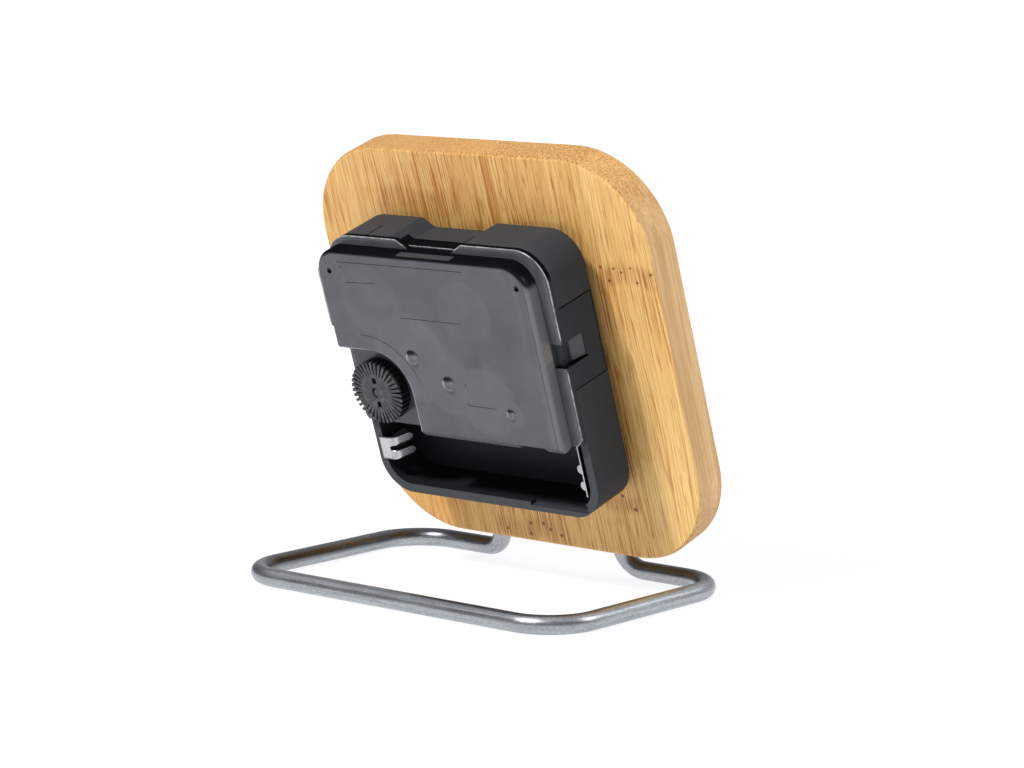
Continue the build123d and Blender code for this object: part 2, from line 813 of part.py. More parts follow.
def third_wheel():
    phase = mesh_phase(third_angle, second_pinion_teeth, third_teeth, third_angle)
    body = wheel(third_teeth, third_module, phase, third_low, third_high)
    body += gear(third_pinion_teeth, centre_module, third_angle + 180, centre_low - pinion_over, third_low)
    return Pos(*third_place, 0) * (body + arbor(third_low, boss_low - loose_gap))


def second_wheel():
    body = wheel(second_teeth, second_module, rotor_angle, second_low, second_high)
    body += gear(second_pinion_teeth, third_module, third_angle, third_low - pinion_over, second_low)
    return body - rod((0, 0), second_arbor_radius + fit_gap, third_low - overrun, second_high + overrun)


def second_arbor():
    return rod((0, 0), second_arbor_radius, second_hand_high - hand_thick, boss_low + pivot_length)


def intermediate_wheel():
    phase = mesh_phase(rotor_angle, second_teeth, intermediate_pinion_teeth, rotor_angle)
    body = wheel(intermediate_teeth, rotor_module, rotor_angle, intermediate_low, intermediate_high)
    body += gear(intermediate_pinion_teeth, second_module, phase, second_low - pinion_over, intermediate_low)
    return Pos(*intermediate_place, 0) * (body + arbor(centre_low - pinion_over, boss_low - loose_gap))


def rotor_pinion():
    phase = mesh_phase(rotor_angle, intermediate_teeth, rotor_pinion_teeth, rotor_angle)
    top = intermediate_high + pinion_over
    body = gear(rotor_pinion_teeth, rotor_module, phase, intermediate_low - pinion_over, top)
    body += rod((0, 0), pivot_radius, train_low + pinion_over, boss_low + pivot_length)
    return Pos(*rotor_place, 0) * body


def rotor_magnet():
    top = second_high - layer_gap
    ring = rod(rotor_place, magnet_radius, centre_low, top)
    return ring - rod(rotor_place, pivot_radius + fit_gap, centre_low - overrun, top + overrun)


# Stepping motor

def stator():
    top = third_low + stator_thick
    foot_right = core_place + core_width / 2
    plate = rod(rotor_place, stator_ring, third_low, top)
    plate += block(leg_left, leg_right, rotor_place[1], core_high, third_low, top)
    plate += block(leg_left, foot_right, core_high - core_lap, core_high, third_low, top)
    plate += block(foot_right - stator_foot_width, foot_right, rotor_place[1] - stator_foot_drop, core_low,
                   third_low, top)
    plate += block(foot_right - core_width, foot_right, core_low, core_low + core_lap, third_low, top)
    return plate - rod(rotor_place, magnet_radius + magnet_gap, third_low - overrun, top + overrun)


def core_block(grow, low, high):
    bottom = third_low - core_thick
    return block(core_place - core_width / 2 - grow, core_place + core_width / 2 + grow, low, high,
                 bottom - grow, third_low + grow)


def coil_core():
    return core_block(0, core_low, core_high)


def bobbin_block(side, low, high):
    middle = third_low - core_thick / 2
    return block(core_place - side / 2, core_place + side / 2, low, high, middle - side / 2, middle + side / 2)


def coil_bobbin():
    bobbin = core_block(bobbin_wall, bobbin_low, bobbin_high)
    bobbin += bobbin_block(bobbin_side, bobbin_low, bobbin_low + bobbin_flange)
    bobbin += bobbin_block(bobbin_side, bobbin_high - bobbin_flange, bobbin_high)
    return bobbin - core_block(fit_gap, bobbin_low - overrun, bobbin_high + overrun)


def coil_winding():
    low = bobbin_low + bobbin_flange + fit_gap
    high = bobbin_high - bobbin_flange - fit_gap
    winding = bobbin_block(winding_side, low, high)
    winding = fillet(winding.edges().filter_by(Axis.Y), winding_side / 4)
    return winding - core_block(bobbin_wall + fit_gap, low - overrun, high + overrun)


# Circuit board

def circuit_board():
    bottom = case_inner + board_rise
    return block(board_left, board_right, board_low, board_high, bottom, bottom + board_thick)


def clock_chip():
    bottom = case_inner + board_rise + board_thick
    blob = rod(chip_place, chip_radius, bottom, bottom + chip_height)
    return fillet(blob.edges().group_by(Axis.Z)[-1], chip_height / 2)


def quartz_crystal():
    bottom = case_inner + board_rise + board_thick
    can = Rot(0, 90, 0) * Cylinder(crystal_radius, crystal_length)
    return Pos(*crystal_place, bottom + crystal_radius) * can


# Hands

def hand(length, tail, width, angle, hub_radius, bore, high):
    tip_width = hand_tip_share * width
    outline = Polyline(
        (-width / 2, 0),
        (-tip_width / 2, length),
        (tip_width / 2, length),
        (width / 2, 0),
        (tip_width / 2, -tail),
        (-tip_width / 2, -tail),
        close=True,
    )
    body = prism(make_face(outline) + Circle(hub_radius), high - hand_thick, high)
    return Rot(0, 0, angle) * (body - rod((0, 0), bore, high - hand_thick - overrun, high + overrun))


def hour_hand():
    hub = hand_hub_share * hour_pipe_radius
    return hand(hour_hand_length, hub, hour_hand_width, hour_hand_angle, hub,
                hour_pipe_radius + fit_gap, hour_hand_high)


def minute_hand():
    hub = hand_hub_share * minute_pipe_radius
    return hand(minute_hand_length, hub, minute_hand_width, minute_hand_angle, hub,
                minute_pipe_radius + fit_gap, minute_hand_high)


def second_hand():
    return hand(second_hand_length, second_hand_tail, second_hand_width, second_hand_angle, second_hub_radius,
                second_arbor_radius + fit_gap, second_hand_high)


# Standing the pieces on the table

lean = radians(plate_lean)
axis_height = plate_side / 2 + plate_drop
axis_point = (0, axis_height * sin(lean), plate_lift + axis_height * cos(lean))
leaning = Plane(origin=axis_point, x_dir=(-1, 0, 0), z_dir=(0, cos(lean), -sin(lean)))

on_plate = [
    bamboo_plate, rubber_gasket, movement_case, movement_lid, threaded_bush, washer, hex_nut,
    negative_contact, positive_contact, minute_pipe, minute_wheel, hour_wheel, setting_gear, setting_knob,
    train_plate, centre_wheel, third_wheel, second_wheel, second_arbor, intermediate_wheel,
    rotor_pinion, rotor_magnet, stator, coil_core, coil_bobbin, coil_winding,
    circuit_board, clock_chip, quartz_crystal, hour_hand, minute_hand, second_hand,
]
standing = {piece.__name__: leaning.location * piece() for piece in on_plate}
standing["wire_stand"] = wire_stand()

# the origin is under the middle of the whole clock's box
boxes = [piece.bounding_box() for piece in standing.values()]
middle_y = (min(box.min.Y for box in boxes) + max(box.max.Y for box in boxes)) / 2

os.makedirs("parts", exist_ok=True)
for name, piece in standing.items():
    export_step(Pos(0, -middle_y, 0) * piece, f"parts/{name}.step")
print("middle of the box at Y", round(middle_y, 4), "and the hands' axis at", axis_point)
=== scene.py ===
import bmesh
import bpy
import json
import math
import numpy as np
from mathutils import Matrix, Vector


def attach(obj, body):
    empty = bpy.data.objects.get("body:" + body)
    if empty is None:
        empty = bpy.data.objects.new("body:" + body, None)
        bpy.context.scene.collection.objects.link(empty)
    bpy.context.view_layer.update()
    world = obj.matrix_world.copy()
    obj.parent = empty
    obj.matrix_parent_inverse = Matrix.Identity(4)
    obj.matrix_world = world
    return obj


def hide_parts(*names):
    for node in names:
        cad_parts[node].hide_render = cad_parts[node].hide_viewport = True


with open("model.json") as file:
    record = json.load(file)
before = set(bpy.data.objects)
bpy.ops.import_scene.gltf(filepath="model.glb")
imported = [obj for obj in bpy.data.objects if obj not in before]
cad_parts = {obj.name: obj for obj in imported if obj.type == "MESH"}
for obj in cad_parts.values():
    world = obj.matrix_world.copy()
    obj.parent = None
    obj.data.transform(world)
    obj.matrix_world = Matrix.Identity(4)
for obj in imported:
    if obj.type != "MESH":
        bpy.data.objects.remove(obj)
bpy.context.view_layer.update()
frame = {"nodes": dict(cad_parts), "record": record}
nodes = frame["nodes"]
print("frame loaded:", len(nodes), "nodes")

metre = 1000.0  # all lengths below are in mm unless a note says otherwise
noiseMiddle = 0.5  # a noise runs from 0 to 1

# the plate leans back; its own frame is s to the right seen from behind, t up the plate, n out of its back
lean = {"degrees": 17.8, "axisPoint": (0.0, -7.4541, 46.4844)}  # the hands' axis on the back face
leanTurn = math.radians(lean["degrees"])
plateRows = Matrix(((-1, 0, 0),
                    (0, math.sin(leanTurn), math.cos(leanTurn)),
                    (0, math.cos(leanTurn), -math.sin(leanTurn))))
acrossPlate, upPlate, outOfPlate = plateRows
plateShift = -(plateRows @ Vector(lean["axisPoint"]))


def fromPlate(points):
    # plate millimetres to metres in the frame: the three axes times s, t, n, added to the axis point
    axes = np.array(plateRows)
    return (np.asarray(points, float) @ axes + np.array(lean["axisPoint"])) / metre


class Wire:
    # one socket of a node tree; operators on it add Math nodes
    def __init__(self, socket):
        self.socket, self.tree = socket, socket.id_data

    def node(self, kind, settings=None, sockets=None, out=0):
        # any node: settings first, then values or links of its sockets;
        # a tuple of outputs gives a wire for each
        made = self.tree.nodes.new("ShaderNode" + kind)
        for name, value in (settings or {}).items():
            if name == "stops":
                ends = made.color_ramp.elements
                for end, (place, colour) in zip(ends, (value[0], value[-1])):
                    end.position, end.color = place, colour
                for place, colour in value[1:-1]:
                    ends.new(place).color = colour
            elif name == "steps":
                made.color_ramp.interpolation = value
            else:
                setattr(made, name, value)
        for name, value in (sockets or {}).items():
            if isinstance(value, Wire):
                self.tree.links.new(value.socket, made.inputs[name])
            else:
                made.inputs[name].default_value = value
        if isinstance(out, tuple):
            return tuple(Wire(made.outputs[o]) for o in out)
        return Wire(made.outputs[out])

    def maths(self, operation, *values):
        return self.node("Math", {"operation": operation}, dict(enumerate(values)))

    def __add__(self, other):
        return self.maths("ADD", self, other)

    def __radd__(self, other):
        return self.maths("ADD", other, self)

    def __sub__(self, other):
        return self.maths("SUBTRACT", self, other)

    def __rsub__(self, other):
        return self.maths("SUBTRACT", other, self)

    def __mul__(self, other):
        return self.maths("MULTIPLY", self, other)

    def __rmul__(self, other):
        return self.maths("MULTIPLY", other, self)

    def __truediv__(self, other):
        return self.maths("DIVIDE", self, other)

    def __rtruediv__(self, other):
        return self.maths("DIVIDE", other, self)

    def __abs__(self):
        return self.maths("ABSOLUTE", self)

    def least(self, other):
        return self.maths("MINIMUM", self, other)

    def most(self, other):
        return self.maths("MAXIMUM", self, other)

    def sine(self):
        return self.maths("SINE", self)

    def cosine(self):
        return self.maths("COSINE", self)

    def root(self):
        return self.maths("SQRT", self)

    def rise(self, low, high):  # 0 below low, 1 above high, smooth between; low may be the larger
        return self.node("MapRange", {"interpolation_type": "SMOOTHSTEP"},
                         {"Value": self, "From Min": low, "From Max": high})

    def within(self, low, high, soft):  # 1 between low and high, its soft edges inside them
        return self.rise(low, low + soft) * self.rise(high, high - soft)

    def onto(self, base, gain):  # base plus gain times this
        return base + self * gain

    def stepped(self, stops):  # a ramp that keeps each stop's value up to the next
        return self.node("ValToRGB", {"stops": stops, "steps": "CONSTANT"}, {"Fac": self})

    def axes(self):
        return self.node("SeparateXYZ", {}, {0: self}, (0, 1, 2))

    def joined(self, x, y, z):
        return self.node("CombineXYZ", {}, {0: x, 1: y, 2: z})

    def dot(self, direction):
        return self.node("VectorMath", {"operation": "DOT_PRODUCT"}, {0: self, 1: direction}, "Value")

    def distance(self, point):
        return self.node("VectorMath", {"operation": "DISTANCE"}, {0: self, 1: point}, "Value")

    def noise(self, scale, detail=2.0, rough=0.5, bend=0.0):
        return self.node("TexNoise", {}, {"Vector": self, "Scale": scale, "Detail": detail,
                                          "Roughness": rough, "Distortion": bend})

    def cells(self, scale, feature="F1", loose=1.0):
        return self.node("TexVoronoi", {"feature": feature},
                         {"Vector": self, "Scale": scale, "Randomness": loose})

    def tint(self, amount, first, second):  # colour mix by an amount from 0 to 1
        return self.node("Mix", {"data_type": "RGBA"}, {0: amount, 6: first, 7: second}, 2)

    def bump(self, strength, distance):  # distance in metres
        return self.node("Bump", {}, {"Strength": strength, "Distance": distance, "Height": self})


def ink(red, green, blue):
    # screen colour of 0 to 255 to the linear colour that shaders use
    parts = [v / 255 for v in (red, green, blue)]
    return tuple(p / 12.92 if p <= 0.04045 else ((p + 0.055) / 1.055) ** 2.4 for p in parts) + (1.0,)


def grey(value):
    return (value, value, value, 1.0)


def strongest(masks):
    # the largest of several masks at each point
    top, *others = masks
    for other in others:
        top = top.most(other)
    return top


def added(shares, *patterns):
    # the patterns added up, each times its share
    total, *others = [pattern * share for pattern, share in zip(patterns, shares)]
    for other in others:
        total = total + other
    return total


def newFinish(name):
    # an empty material and its object coordinates in metres
    made = bpy.data.materials.new(name)
    made.use_nodes = True
    made.node_tree.nodes.clear()
    start = made.node_tree.nodes.new("ShaderNodeTexCoord")
    return made, Wire(start.outputs["Object"])


def onPlate(where):
    # object coordinates turned and scaled to the plate's s, t, n
    return where.node("Mapping", {"vector_type": "POINT"},
                      {"Vector": where, "Location": plateShift, "Scale": (metre, metre, metre),
                       "Rotation": plateRows.to_euler()})


def facingOf(where):
    # the direction that the surface faces
    return where.node("TexCoord", {}, {}, "Normal")


def shader(where, **sockets):
    # one Principled shader; underscores in a name stand for spaces
    named = {name.replace("_", " "): value for name, value in sockets.items()}
    return where.node("BsdfPrincipled", {}, named)


def close(made, where, surface):
    where.node("OutputMaterial", {}, {"Surface": surface}, ())
    return made


def coat(made, where, **sockets):
    # closes a material with one Principled shader
    return close(made, where, shader(where, **sockets))


# the bamboo plate
bamboo = {
    "pale": ink(244, 203, 130), "deep": ink(208, 151, 76), "burnt": ink(158, 84, 24),
    "orange": ink(184, 106, 28), "cream": ink(252, 222, 158), "pink": ink(234, 194, 144),
    "pinkDark": ink(192, 147, 102), "dot": ink(146, 94, 42), "speck": ink(104, 50, 18),
    "edge": ink(184, 137, 80), "mark": ink(52, 31, 18),
    # glued strips: left edge, tone, streak strength and end grain strength
    "strips": ((-42, 0.62, 0.50, 0.25), (-30.4, 0.50, 0.65, 0.30), (-12.9, 0.44, 0.90, 0.60),
               (4.6, 0.64, 0.85, 1.00), (28.5, 1.10, 0.52, 0.60)),
    # painted shade below the case: the lower left corner darkened towards brown; t and s where it starts and
    # is full, and how much
    "shadedCorner": ((-26.0, -40.0), (-6.0, -18.0), 0.40),
    "seams": ((-30.4, 0.35), (-12.9, 0.50), (4.6, 0.9), (28.5, 0.35)),  # where strips meet, and how dark
    "seamWander": 0.6, "seamFade": (0.42, 0.05),
    # the darker outer cane beside a seam: s from and to with their soft edges, t where it starts and is full
    "rindFrom": (4.3, 4.6), "rindTo": (7.4, 6.0), "rindUp": (12.0, 26.0),
    # fibre patterns: scale across the fibres and along them, per mm, then detail and roughness of the noise
    "fibres": {"drift": (0.05, 0.02, 1.0, 0.5), "fine": (2.9, 0.04, 4.0, 0.7),
               "broad": (0.42, 0.012, 2.0, 0.5), "lines": (1.9, 0.05, 2.0, 0.6),
               "hairs": (0.8, 0.02, 0.0, 0.5), "short": (3.8, 0.18, 1.0, 0.5),
               "patchy": (0.07, 0.045, 1.0, 0.5)},
    "wander": 3.0, "bundle": (1.8, 0.03, 0.6),  # bundles: scale across and along, looseness
    # joints of the cane: s from, s to, t, half height
    "joints": ((28.0, 42.0, 17.6, 3.0), (-12.9, 4.8, -39.8, 3.2), (-24.0, -3.0, 30.0, 4.0),
               (17.0, 27.0, -31.0, 2.5)),
    "jointWave": (0.35, 0.8),  # turn per mm and height
    "jointSoft": 0.8, "jointDepth": (-7.2, -3.5),
    # small dark pores at the joints: s, t, radius
    "pores": ((28.9, 19.3, 0.36), (32.0, 19.2, 0.34), (33.8, 18.6, 0.34), (36.1, 19.6, 0.30),
              (40.8, 18.6, 0.42), (30.5, 16.6, 0.40), (37.2, 16.7, 0.36), (-3.6, -38.9, 0.46),
              (-0.2, -38.5, 0.52), (1.4, -39.7, 0.44), (-4.1, -41.3, 0.48), (-10.2, -40.9, 0.42),
              (4.0, -40.7, 0.46), (22.3, -29.5, 0.50), (24.9, -32.2, 0.56)),
    "poreFade": (1.1, 0.4), "poreDepth": (-3.0, -1.0),
    # engraved marks: n just under the front face at -7.5 and just past their floor at -7.2,
    # radius from and to
    "markTop": (-7.48, -7.42), "markFloor": (-7.0, -7.1), "markRing": (29.0, 38.5), "markSoft": 0.3,
    "half": 42.0,  # half the plate's width
    "endFrom": (0.15, 0.75), "sideFrom": (0.45, 0.95),  # how far a face turns to count as end or side
    # where each pattern starts and is full
    "levels": {"lines": (0.53, 0.62), "hairs": (0.030, 0.006), "short": (0.57, 0.67), "patchy": (0.38, 0.60),
               "cream": (0.52, 0.70), "shade": (0.49, 0.34), "band": (0.55, 0.40), "bandEdge": (1.0, 0.25),
               "rind": (0.58, 0.42), "dots": (0.50, 0.22), "endPale": (0.5, 0.66), "endLeft": (5.0, -25.0),
               "sideTone": (0.42, 0.62)},
    # how much each layer covers; a pair is a base and what a second pattern adds to it
    "cover": {"side": 0.85, "cream": 0.45, "shade": 0.75, "hairs": (0.25, 0.35), "lines": (0.34, 0.85),
              "sideLines": 0.75, "short": 0.70, "seam": 0.6, "rind": 0.75, "rindFibre": (0.35, 0.65),
              "band": (0.14, 0.42), "end": (0.65, 0.25), "endPale": 0.4, "dots": 0.85, "pores": 0.9,
              "mark": (0.85, 0.2)},
    "toneMix": (-0.25, 0.6, 0.9),  # a base, then how much the strip's tone and the broad pattern add
    "sideMix": (0.5, 0.5),  # shares of the broad pattern and of fine fibres on the sides
    "relief": {"fine": 0.5, "lines": -0.4, "hairs": -0.4, "dots": -0.9, "pores": -1.0},
    "rough": (0.42, 0.16, 0.12),  # a base, then what fine fibres and the end grain add
    "gloss": 0.4, "bump": (0.35, 0.00012),
}


def bambooFinish():
    made, where = newFinish("bambooFinish")
    place = onPlate(where)
    s, t, n = place.axes()
    facing = facingOf(where)
    endFace = abs(facing.dot(upPlate)).rise(*bamboo["endFrom"])
    sideFace = abs(facing.dot(acrossPlate)).rise(*bamboo["sideFrom"])
    flat = 1 - endFace.most(sideFace)
    levels, cover, relief = bamboo["levels"], bamboo["cover"], bamboo["relief"]

    # strips: a stepped ramp over s for each of the three values
    side = bamboo["half"]
    share = (s + side) / (2 * side)
    edges, *columns = zip(*bamboo["strips"])
    places = [(edge + side) / (2 * side) for edge in edges]
    tone, streaky, grainy = [share.stepped(list(zip(places, map(grey, column)))) for column in columns]
    # painted shade: the tone is lowered towards the lower left corner, below the case
    downTo, leftTo, shadeDepth = bamboo["shadedCorner"]
    tone = tone - t.rise(*downTo) * s.rise(*leftTo) * shadeDepth

    # fibres run along t, so every pattern is stretched that way and wanders a little
    def pattern(name, across):
        wide, long, detail, rough = bamboo["fibres"][name]
        return place.joined(across * wide, n * wide, t * long).noise(1.0, detail, rough)

    drift = pattern("drift", s) - noiseMiddle
    fibre = s + drift * bamboo["wander"]
    fine = pattern("fine", fibre)
    broad = pattern("broad", fibre)
    lines = pattern("lines", fibre).rise(*levels["lines"])
    # hairs are where a slow noise crosses its middle: thin and long
    hairs = abs(pattern("hairs", fibre) - noiseMiddle).rise(*levels["hairs"])
    short = pattern("short", fibre).rise(*levels["short"])
    patchy = pattern("patchy", s).rise(*levels["patchy"])

    # joints of the cane: a darker wavy band across one strip, on the back only, with pores
    turns, swing = bamboo["jointWave"]
    bands = []
    for left, right, height, halfHeight in bamboo["joints"]:
        off = abs(t - height + (s * turns + height).sine() * swing) / halfHeight
        bands.append(s.within(left, right, bamboo["jointSoft"]) * off.rise(*levels["bandEdge"]))
    band = strongest(bands) * n.rise(*bamboo["jointDepth"])
    level = place.joined(s, t, 0.0)
    outer, inner = bamboo["poreFade"]
    pores = strongest(level.distance((atS, atT, 0.0)).rise(size * outer, size * inner)
                      for atS, atT, size in bamboo["pores"]) * n.rise(*bamboo["poreDepth"]) * flat

    seam = strongest(abs(s - edge + drift * bamboo["seamWander"]).rise(*bamboo["seamFade"]) * dark
                     for edge, dark in bamboo["seams"])
    rind = s.rise(*bamboo["rindFrom"]) * s.rise(*bamboo["rindTo"]) * t.rise(*bamboo["rindUp"]) \
        * fine.rise(*levels["rind"]).onto(*cover["rindFibre"])

    # end grain: the fibre bundles seen head on, as dots that lengthen where the edge slopes
    wide, long, loose = bamboo["bundle"]
    bundles = place.joined(s * wide, n * wide, t * long).cells(1.0, loose=loose)
    dots = bundles.rise(*levels["dots"]) * endFace * grainy

    # engraved marks: anything just under the front face and inside the ring is burnt dark
    low, high = bamboo["markRing"]
    soft = bamboo["markSoft"]
    sunk = n.rise(*bamboo["markTop"]) * n.rise(*bamboo["markFloor"])
    marked = sunk * (s * s + t * t).root().within(low - soft, high + soft, soft)

    base, byTone, byBroad = bamboo["toneMix"]
    bodyMix = (tone * byTone + broad * byBroad + base).most(0.0).least(1.0)
    body = where.tint(bodyMix, bamboo["deep"], bamboo["pale"])
    sideMix = added(bamboo["sideMix"], broad.rise(*levels["sideTone"]), fine)
    layers = (  # how much of which colour goes over the last
        (sideFace * cover["side"], where.tint(sideMix, bamboo["pinkDark"], bamboo["pink"])),
        (fine.rise(*levels["cream"]) * cover["cream"], bamboo["cream"]),
        (fine.rise(*levels["shade"]) * cover["shade"], bamboo["deep"]),
        (hairs * streaky.onto(*cover["hairs"]) * flat, bamboo["burnt"]),
        (lines * streaky * patchy.onto(*cover["lines"]) * (1 - sideFace * cover["sideLines"]),
         bamboo["orange"]),
        (short * streaky * cover["short"] * flat, bamboo["burnt"]),
        (seam * flat * cover["seam"], bamboo["burnt"]),
        (rind * flat * cover["rind"], bamboo["orange"]),
        (band * fine.rise(*levels["band"]).onto(*cover["band"]), bamboo["burnt"]),
        (endFace * s.rise(*levels["endLeft"]).onto(*cover["end"]), bamboo["edge"]),
        (endFace * fine.rise(*levels["endPale"]) * cover["endPale"], bamboo["pale"]),
        (dots * cover["dots"], bamboo["dot"]),
        (pores * cover["pores"], bamboo["speck"]),
        (marked * fine.onto(*cover["mark"]).least(1.0), bamboo["mark"]),
    )
    for amount, colour in layers:
        body = where.tint(amount, body, colour)
    height = fine * relief["fine"] + lines * relief["lines"] + hairs * relief["hairs"] \
        + dots * relief["dots"] + pores * relief["pores"]
    rough, byFibre, byEnd = bamboo["rough"]
    return coat(made, where, Base_Color=body, Roughness=rough + fine * byFibre + endFace * byEnd,
                Specular_IOR_Level=bamboo["gloss"], Normal=height.bump(*bamboo["bump"]))


# colour, roughness, gloss, size of the moulded texture and its depth in metres, mottling
plastics = {
    "gear_plastic": ((236, 234, 226), 0.42, 0.5, 0.40, 0.00001, 0.10),
    "plate_plastic": ((196, 190, 176), 0.48, 0.5, 0.35, 0.00001, 0.12),
    "bobbin_plastic": ((30, 66, 120), 0.45, 0.5, 0.40, 0.00001, 0.15),
    "chip_resin": ((16, 16, 18), 0.28, 0.5, 0.50, 0.00003, 0.30),
    "gasket_rubber": ((22, 22, 23), 0.80, 0.25, 0.30, 0.00003, 0.30),
}

# what the moulded plastics share
moulding = {
    # noises: scale per metre, detail, roughness and bend; the grain's scale comes from its size
    "mottling": (160.0, 3.0, 0.6, 0.3), "rubbed": 45.0, "grain": (2.0, 0.6),
    "mix": (0.7, 0.3),  # shares of mottling and grain in the colour
    "rough": (-0.06, 0.08, 0.06),  # a base, then what mottling and rubbed spots add
    "lighter": 4, "bump": 0.5,
}


def plasticFinish(name):
    # a moulded plastic: fine grain in the bump, slow mottling in colour and gloss
    colour, rough, gloss, size, depth, mottle = plastics[name]
    made, where = newFinish(name + "Finish")
    grain = where.noise(metre / size, *moulding["grain"])
    slow = where.noise(*moulding["mottling"])
    rubbed = where.noise(moulding["rubbed"])
    light = ink(*[min(255, c * (1 + mottle) + moulding["lighter"]) for c in colour])
    dark = ink(*[c * (1 - mottle) for c in colour])
    shade = where.tint(added(moulding["mix"], slow, grain), dark, light)
    lower, bySlow, byRub = moulding["rough"]
    return coat(made, where, Base_Color=shade, Roughness=rough + lower + slow * bySlow + rubbed * byRub,
                Specular_IOR_Level=gloss, Normal=grain.bump(moulding["bump"], depth))


# the case: fine matte charcoal outside, smoother inside the battery bay; the bay darkened as painted shade
# and the rim's front face lightened as a painted reflection
case = {
    # bay: painted shade inside the battery bay; rim: painted reflection on the rim's front face
    "dark": ink(46, 50, 55), "light": ink(61, 65, 72), "bay": ink(25, 26, 27), "rim": ink(74, 77, 79),
    "hookTone": ink(96, 98, 102),  # the part that shows in the lid's window
    "hookS": (24.0, 24.5), "hookT": (4.4, 9.3), "hookN": (7.2, 10.7),
    "bayS": 26.6, "bayT": (-26.6, -10.9), "bayTop": 12.7, "baySoft": 0.2, "hookSoft": 0.1,
    "rimTurn": (0.9, 0.98), "rimSoft": 0.1,
    # noises: scale per metre, detail, roughness and bend
    "grain": (4500.0, 2.0, 0.6), "mottling": (150.0, 3.0, 0.6, 0.3),
    "pull": (0.9, 0.06),  # faint pull marks of the mould: scale across and along
    "mix": (0.5, 0.2, 0.3),  # shares of mottling, grain and pull marks in the colour
    "cover": {"rim": 0.7, "bay": 0.9, "hookTone": 0.8},
    "rough": (0.50, 0.10, 0.15),  # a base, what mottling adds and what the bay takes off
    "gloss": 0.14, "glossTint": (0.8, 0.92, 1.0, 1.0), "bump": (0.5, 0.00002),
}


def caseFinish():
    made, where = newFinish("caseFinish")
    s, t, n = onPlate(where).axes()
    top, soft = case["bayTop"], case["baySoft"]
    wide = case["bayS"]
    # painted shade: the mask of the inside of the battery bay, where the colour is darkened
    inBay = abs(s).rise(wide, wide - soft) * t.within(*case["bayT"], soft) * n.rise(top, top - soft)
    grain = where.noise(*case["grain"])
    slow = where.noise(*case["mottling"])
    wide, long = case["pull"]
    drawn = where.joined(s * wide, t * long, n * wide).noise(1.0)
    # painted reflection: the rim's front face, lightened in colour
    rimSheen = facingOf(where).dot(outOfPlate).rise(*case["rimTurn"]) * n.rise(top - case["rimSoft"], top)
    edge = case["hookSoft"]
    hook = s.rise(*case["hookS"]) * t.within(*case["hookT"], edge) * n.within(*case["hookN"], edge)
    shade = where.tint(added(case["mix"], slow, grain, drawn), case["dark"], case["light"])
    # painted light over the tone: a lighter rim face as a painted reflection, a darker bay as painted shade,
    # and the hook's paler tone
    for mask, colour in ((rimSheen, "rim"), (inBay, "bay"), (hook, "hookTone")):
        shade = where.tint(mask * case["cover"][colour], shade, case[colour])
    rough, bySlow, byBay = case["rough"]
    return coat(made, where, Base_Color=shade, Roughness=rough + slow * bySlow - inBay * byBay,
                Specular_IOR_Level=case["gloss"], Specular_Tint=case["glossTint"],
                Normal=grain.bump(*case["bump"]))


# the knob: black, its rib tops rubbed paler, and darker below the rib tops, in the gaps and on its side, as
# painted shade
knob = {
    # deep: painted shade in the gaps between the ribs and on the side
    "deep": ink(10, 10, 11), "top": ink(44, 45, 48), "rubbed": ink(78, 79, 83),
    "ribs": (16.1, 16.8),  # n of their foot and top
    "wear": (700.0, 3.0, 0.65), "wearLevel": (0.45, 0.70),  # the noise: scale, detail and roughness
    "grain": 3800.0, "relief": 0.3,  # the grain's share in the bump
    "rough": (0.20, 0.16),  # a base and what wear adds
    "gloss": 0.5, "bump": (0.25, 0.00002),
}


def knobFinish():
    made, where = newFinish("knobFinish")
    height = onPlate(where).axes()[2]
    worn = where.noise(*knob["wear"])
    grain = where.noise(knob["grain"])
    shade = where.tint(worn.rise(*knob["wearLevel"]), knob["top"], knob["rubbed"])
    # painted shade: the gaps between the ribs and the knob's side are darker than the rib tops
    shade = where.tint(height.rise(*knob["ribs"]), knob["deep"], shade)
    return coat(made, where, Base_Color=shade, Roughness=worn.onto(*knob["rough"]),
                Specular_IOR_Level=knob["gloss"],
                Normal=(worn + grain * knob["relief"]).bump(*knob["bump"]))


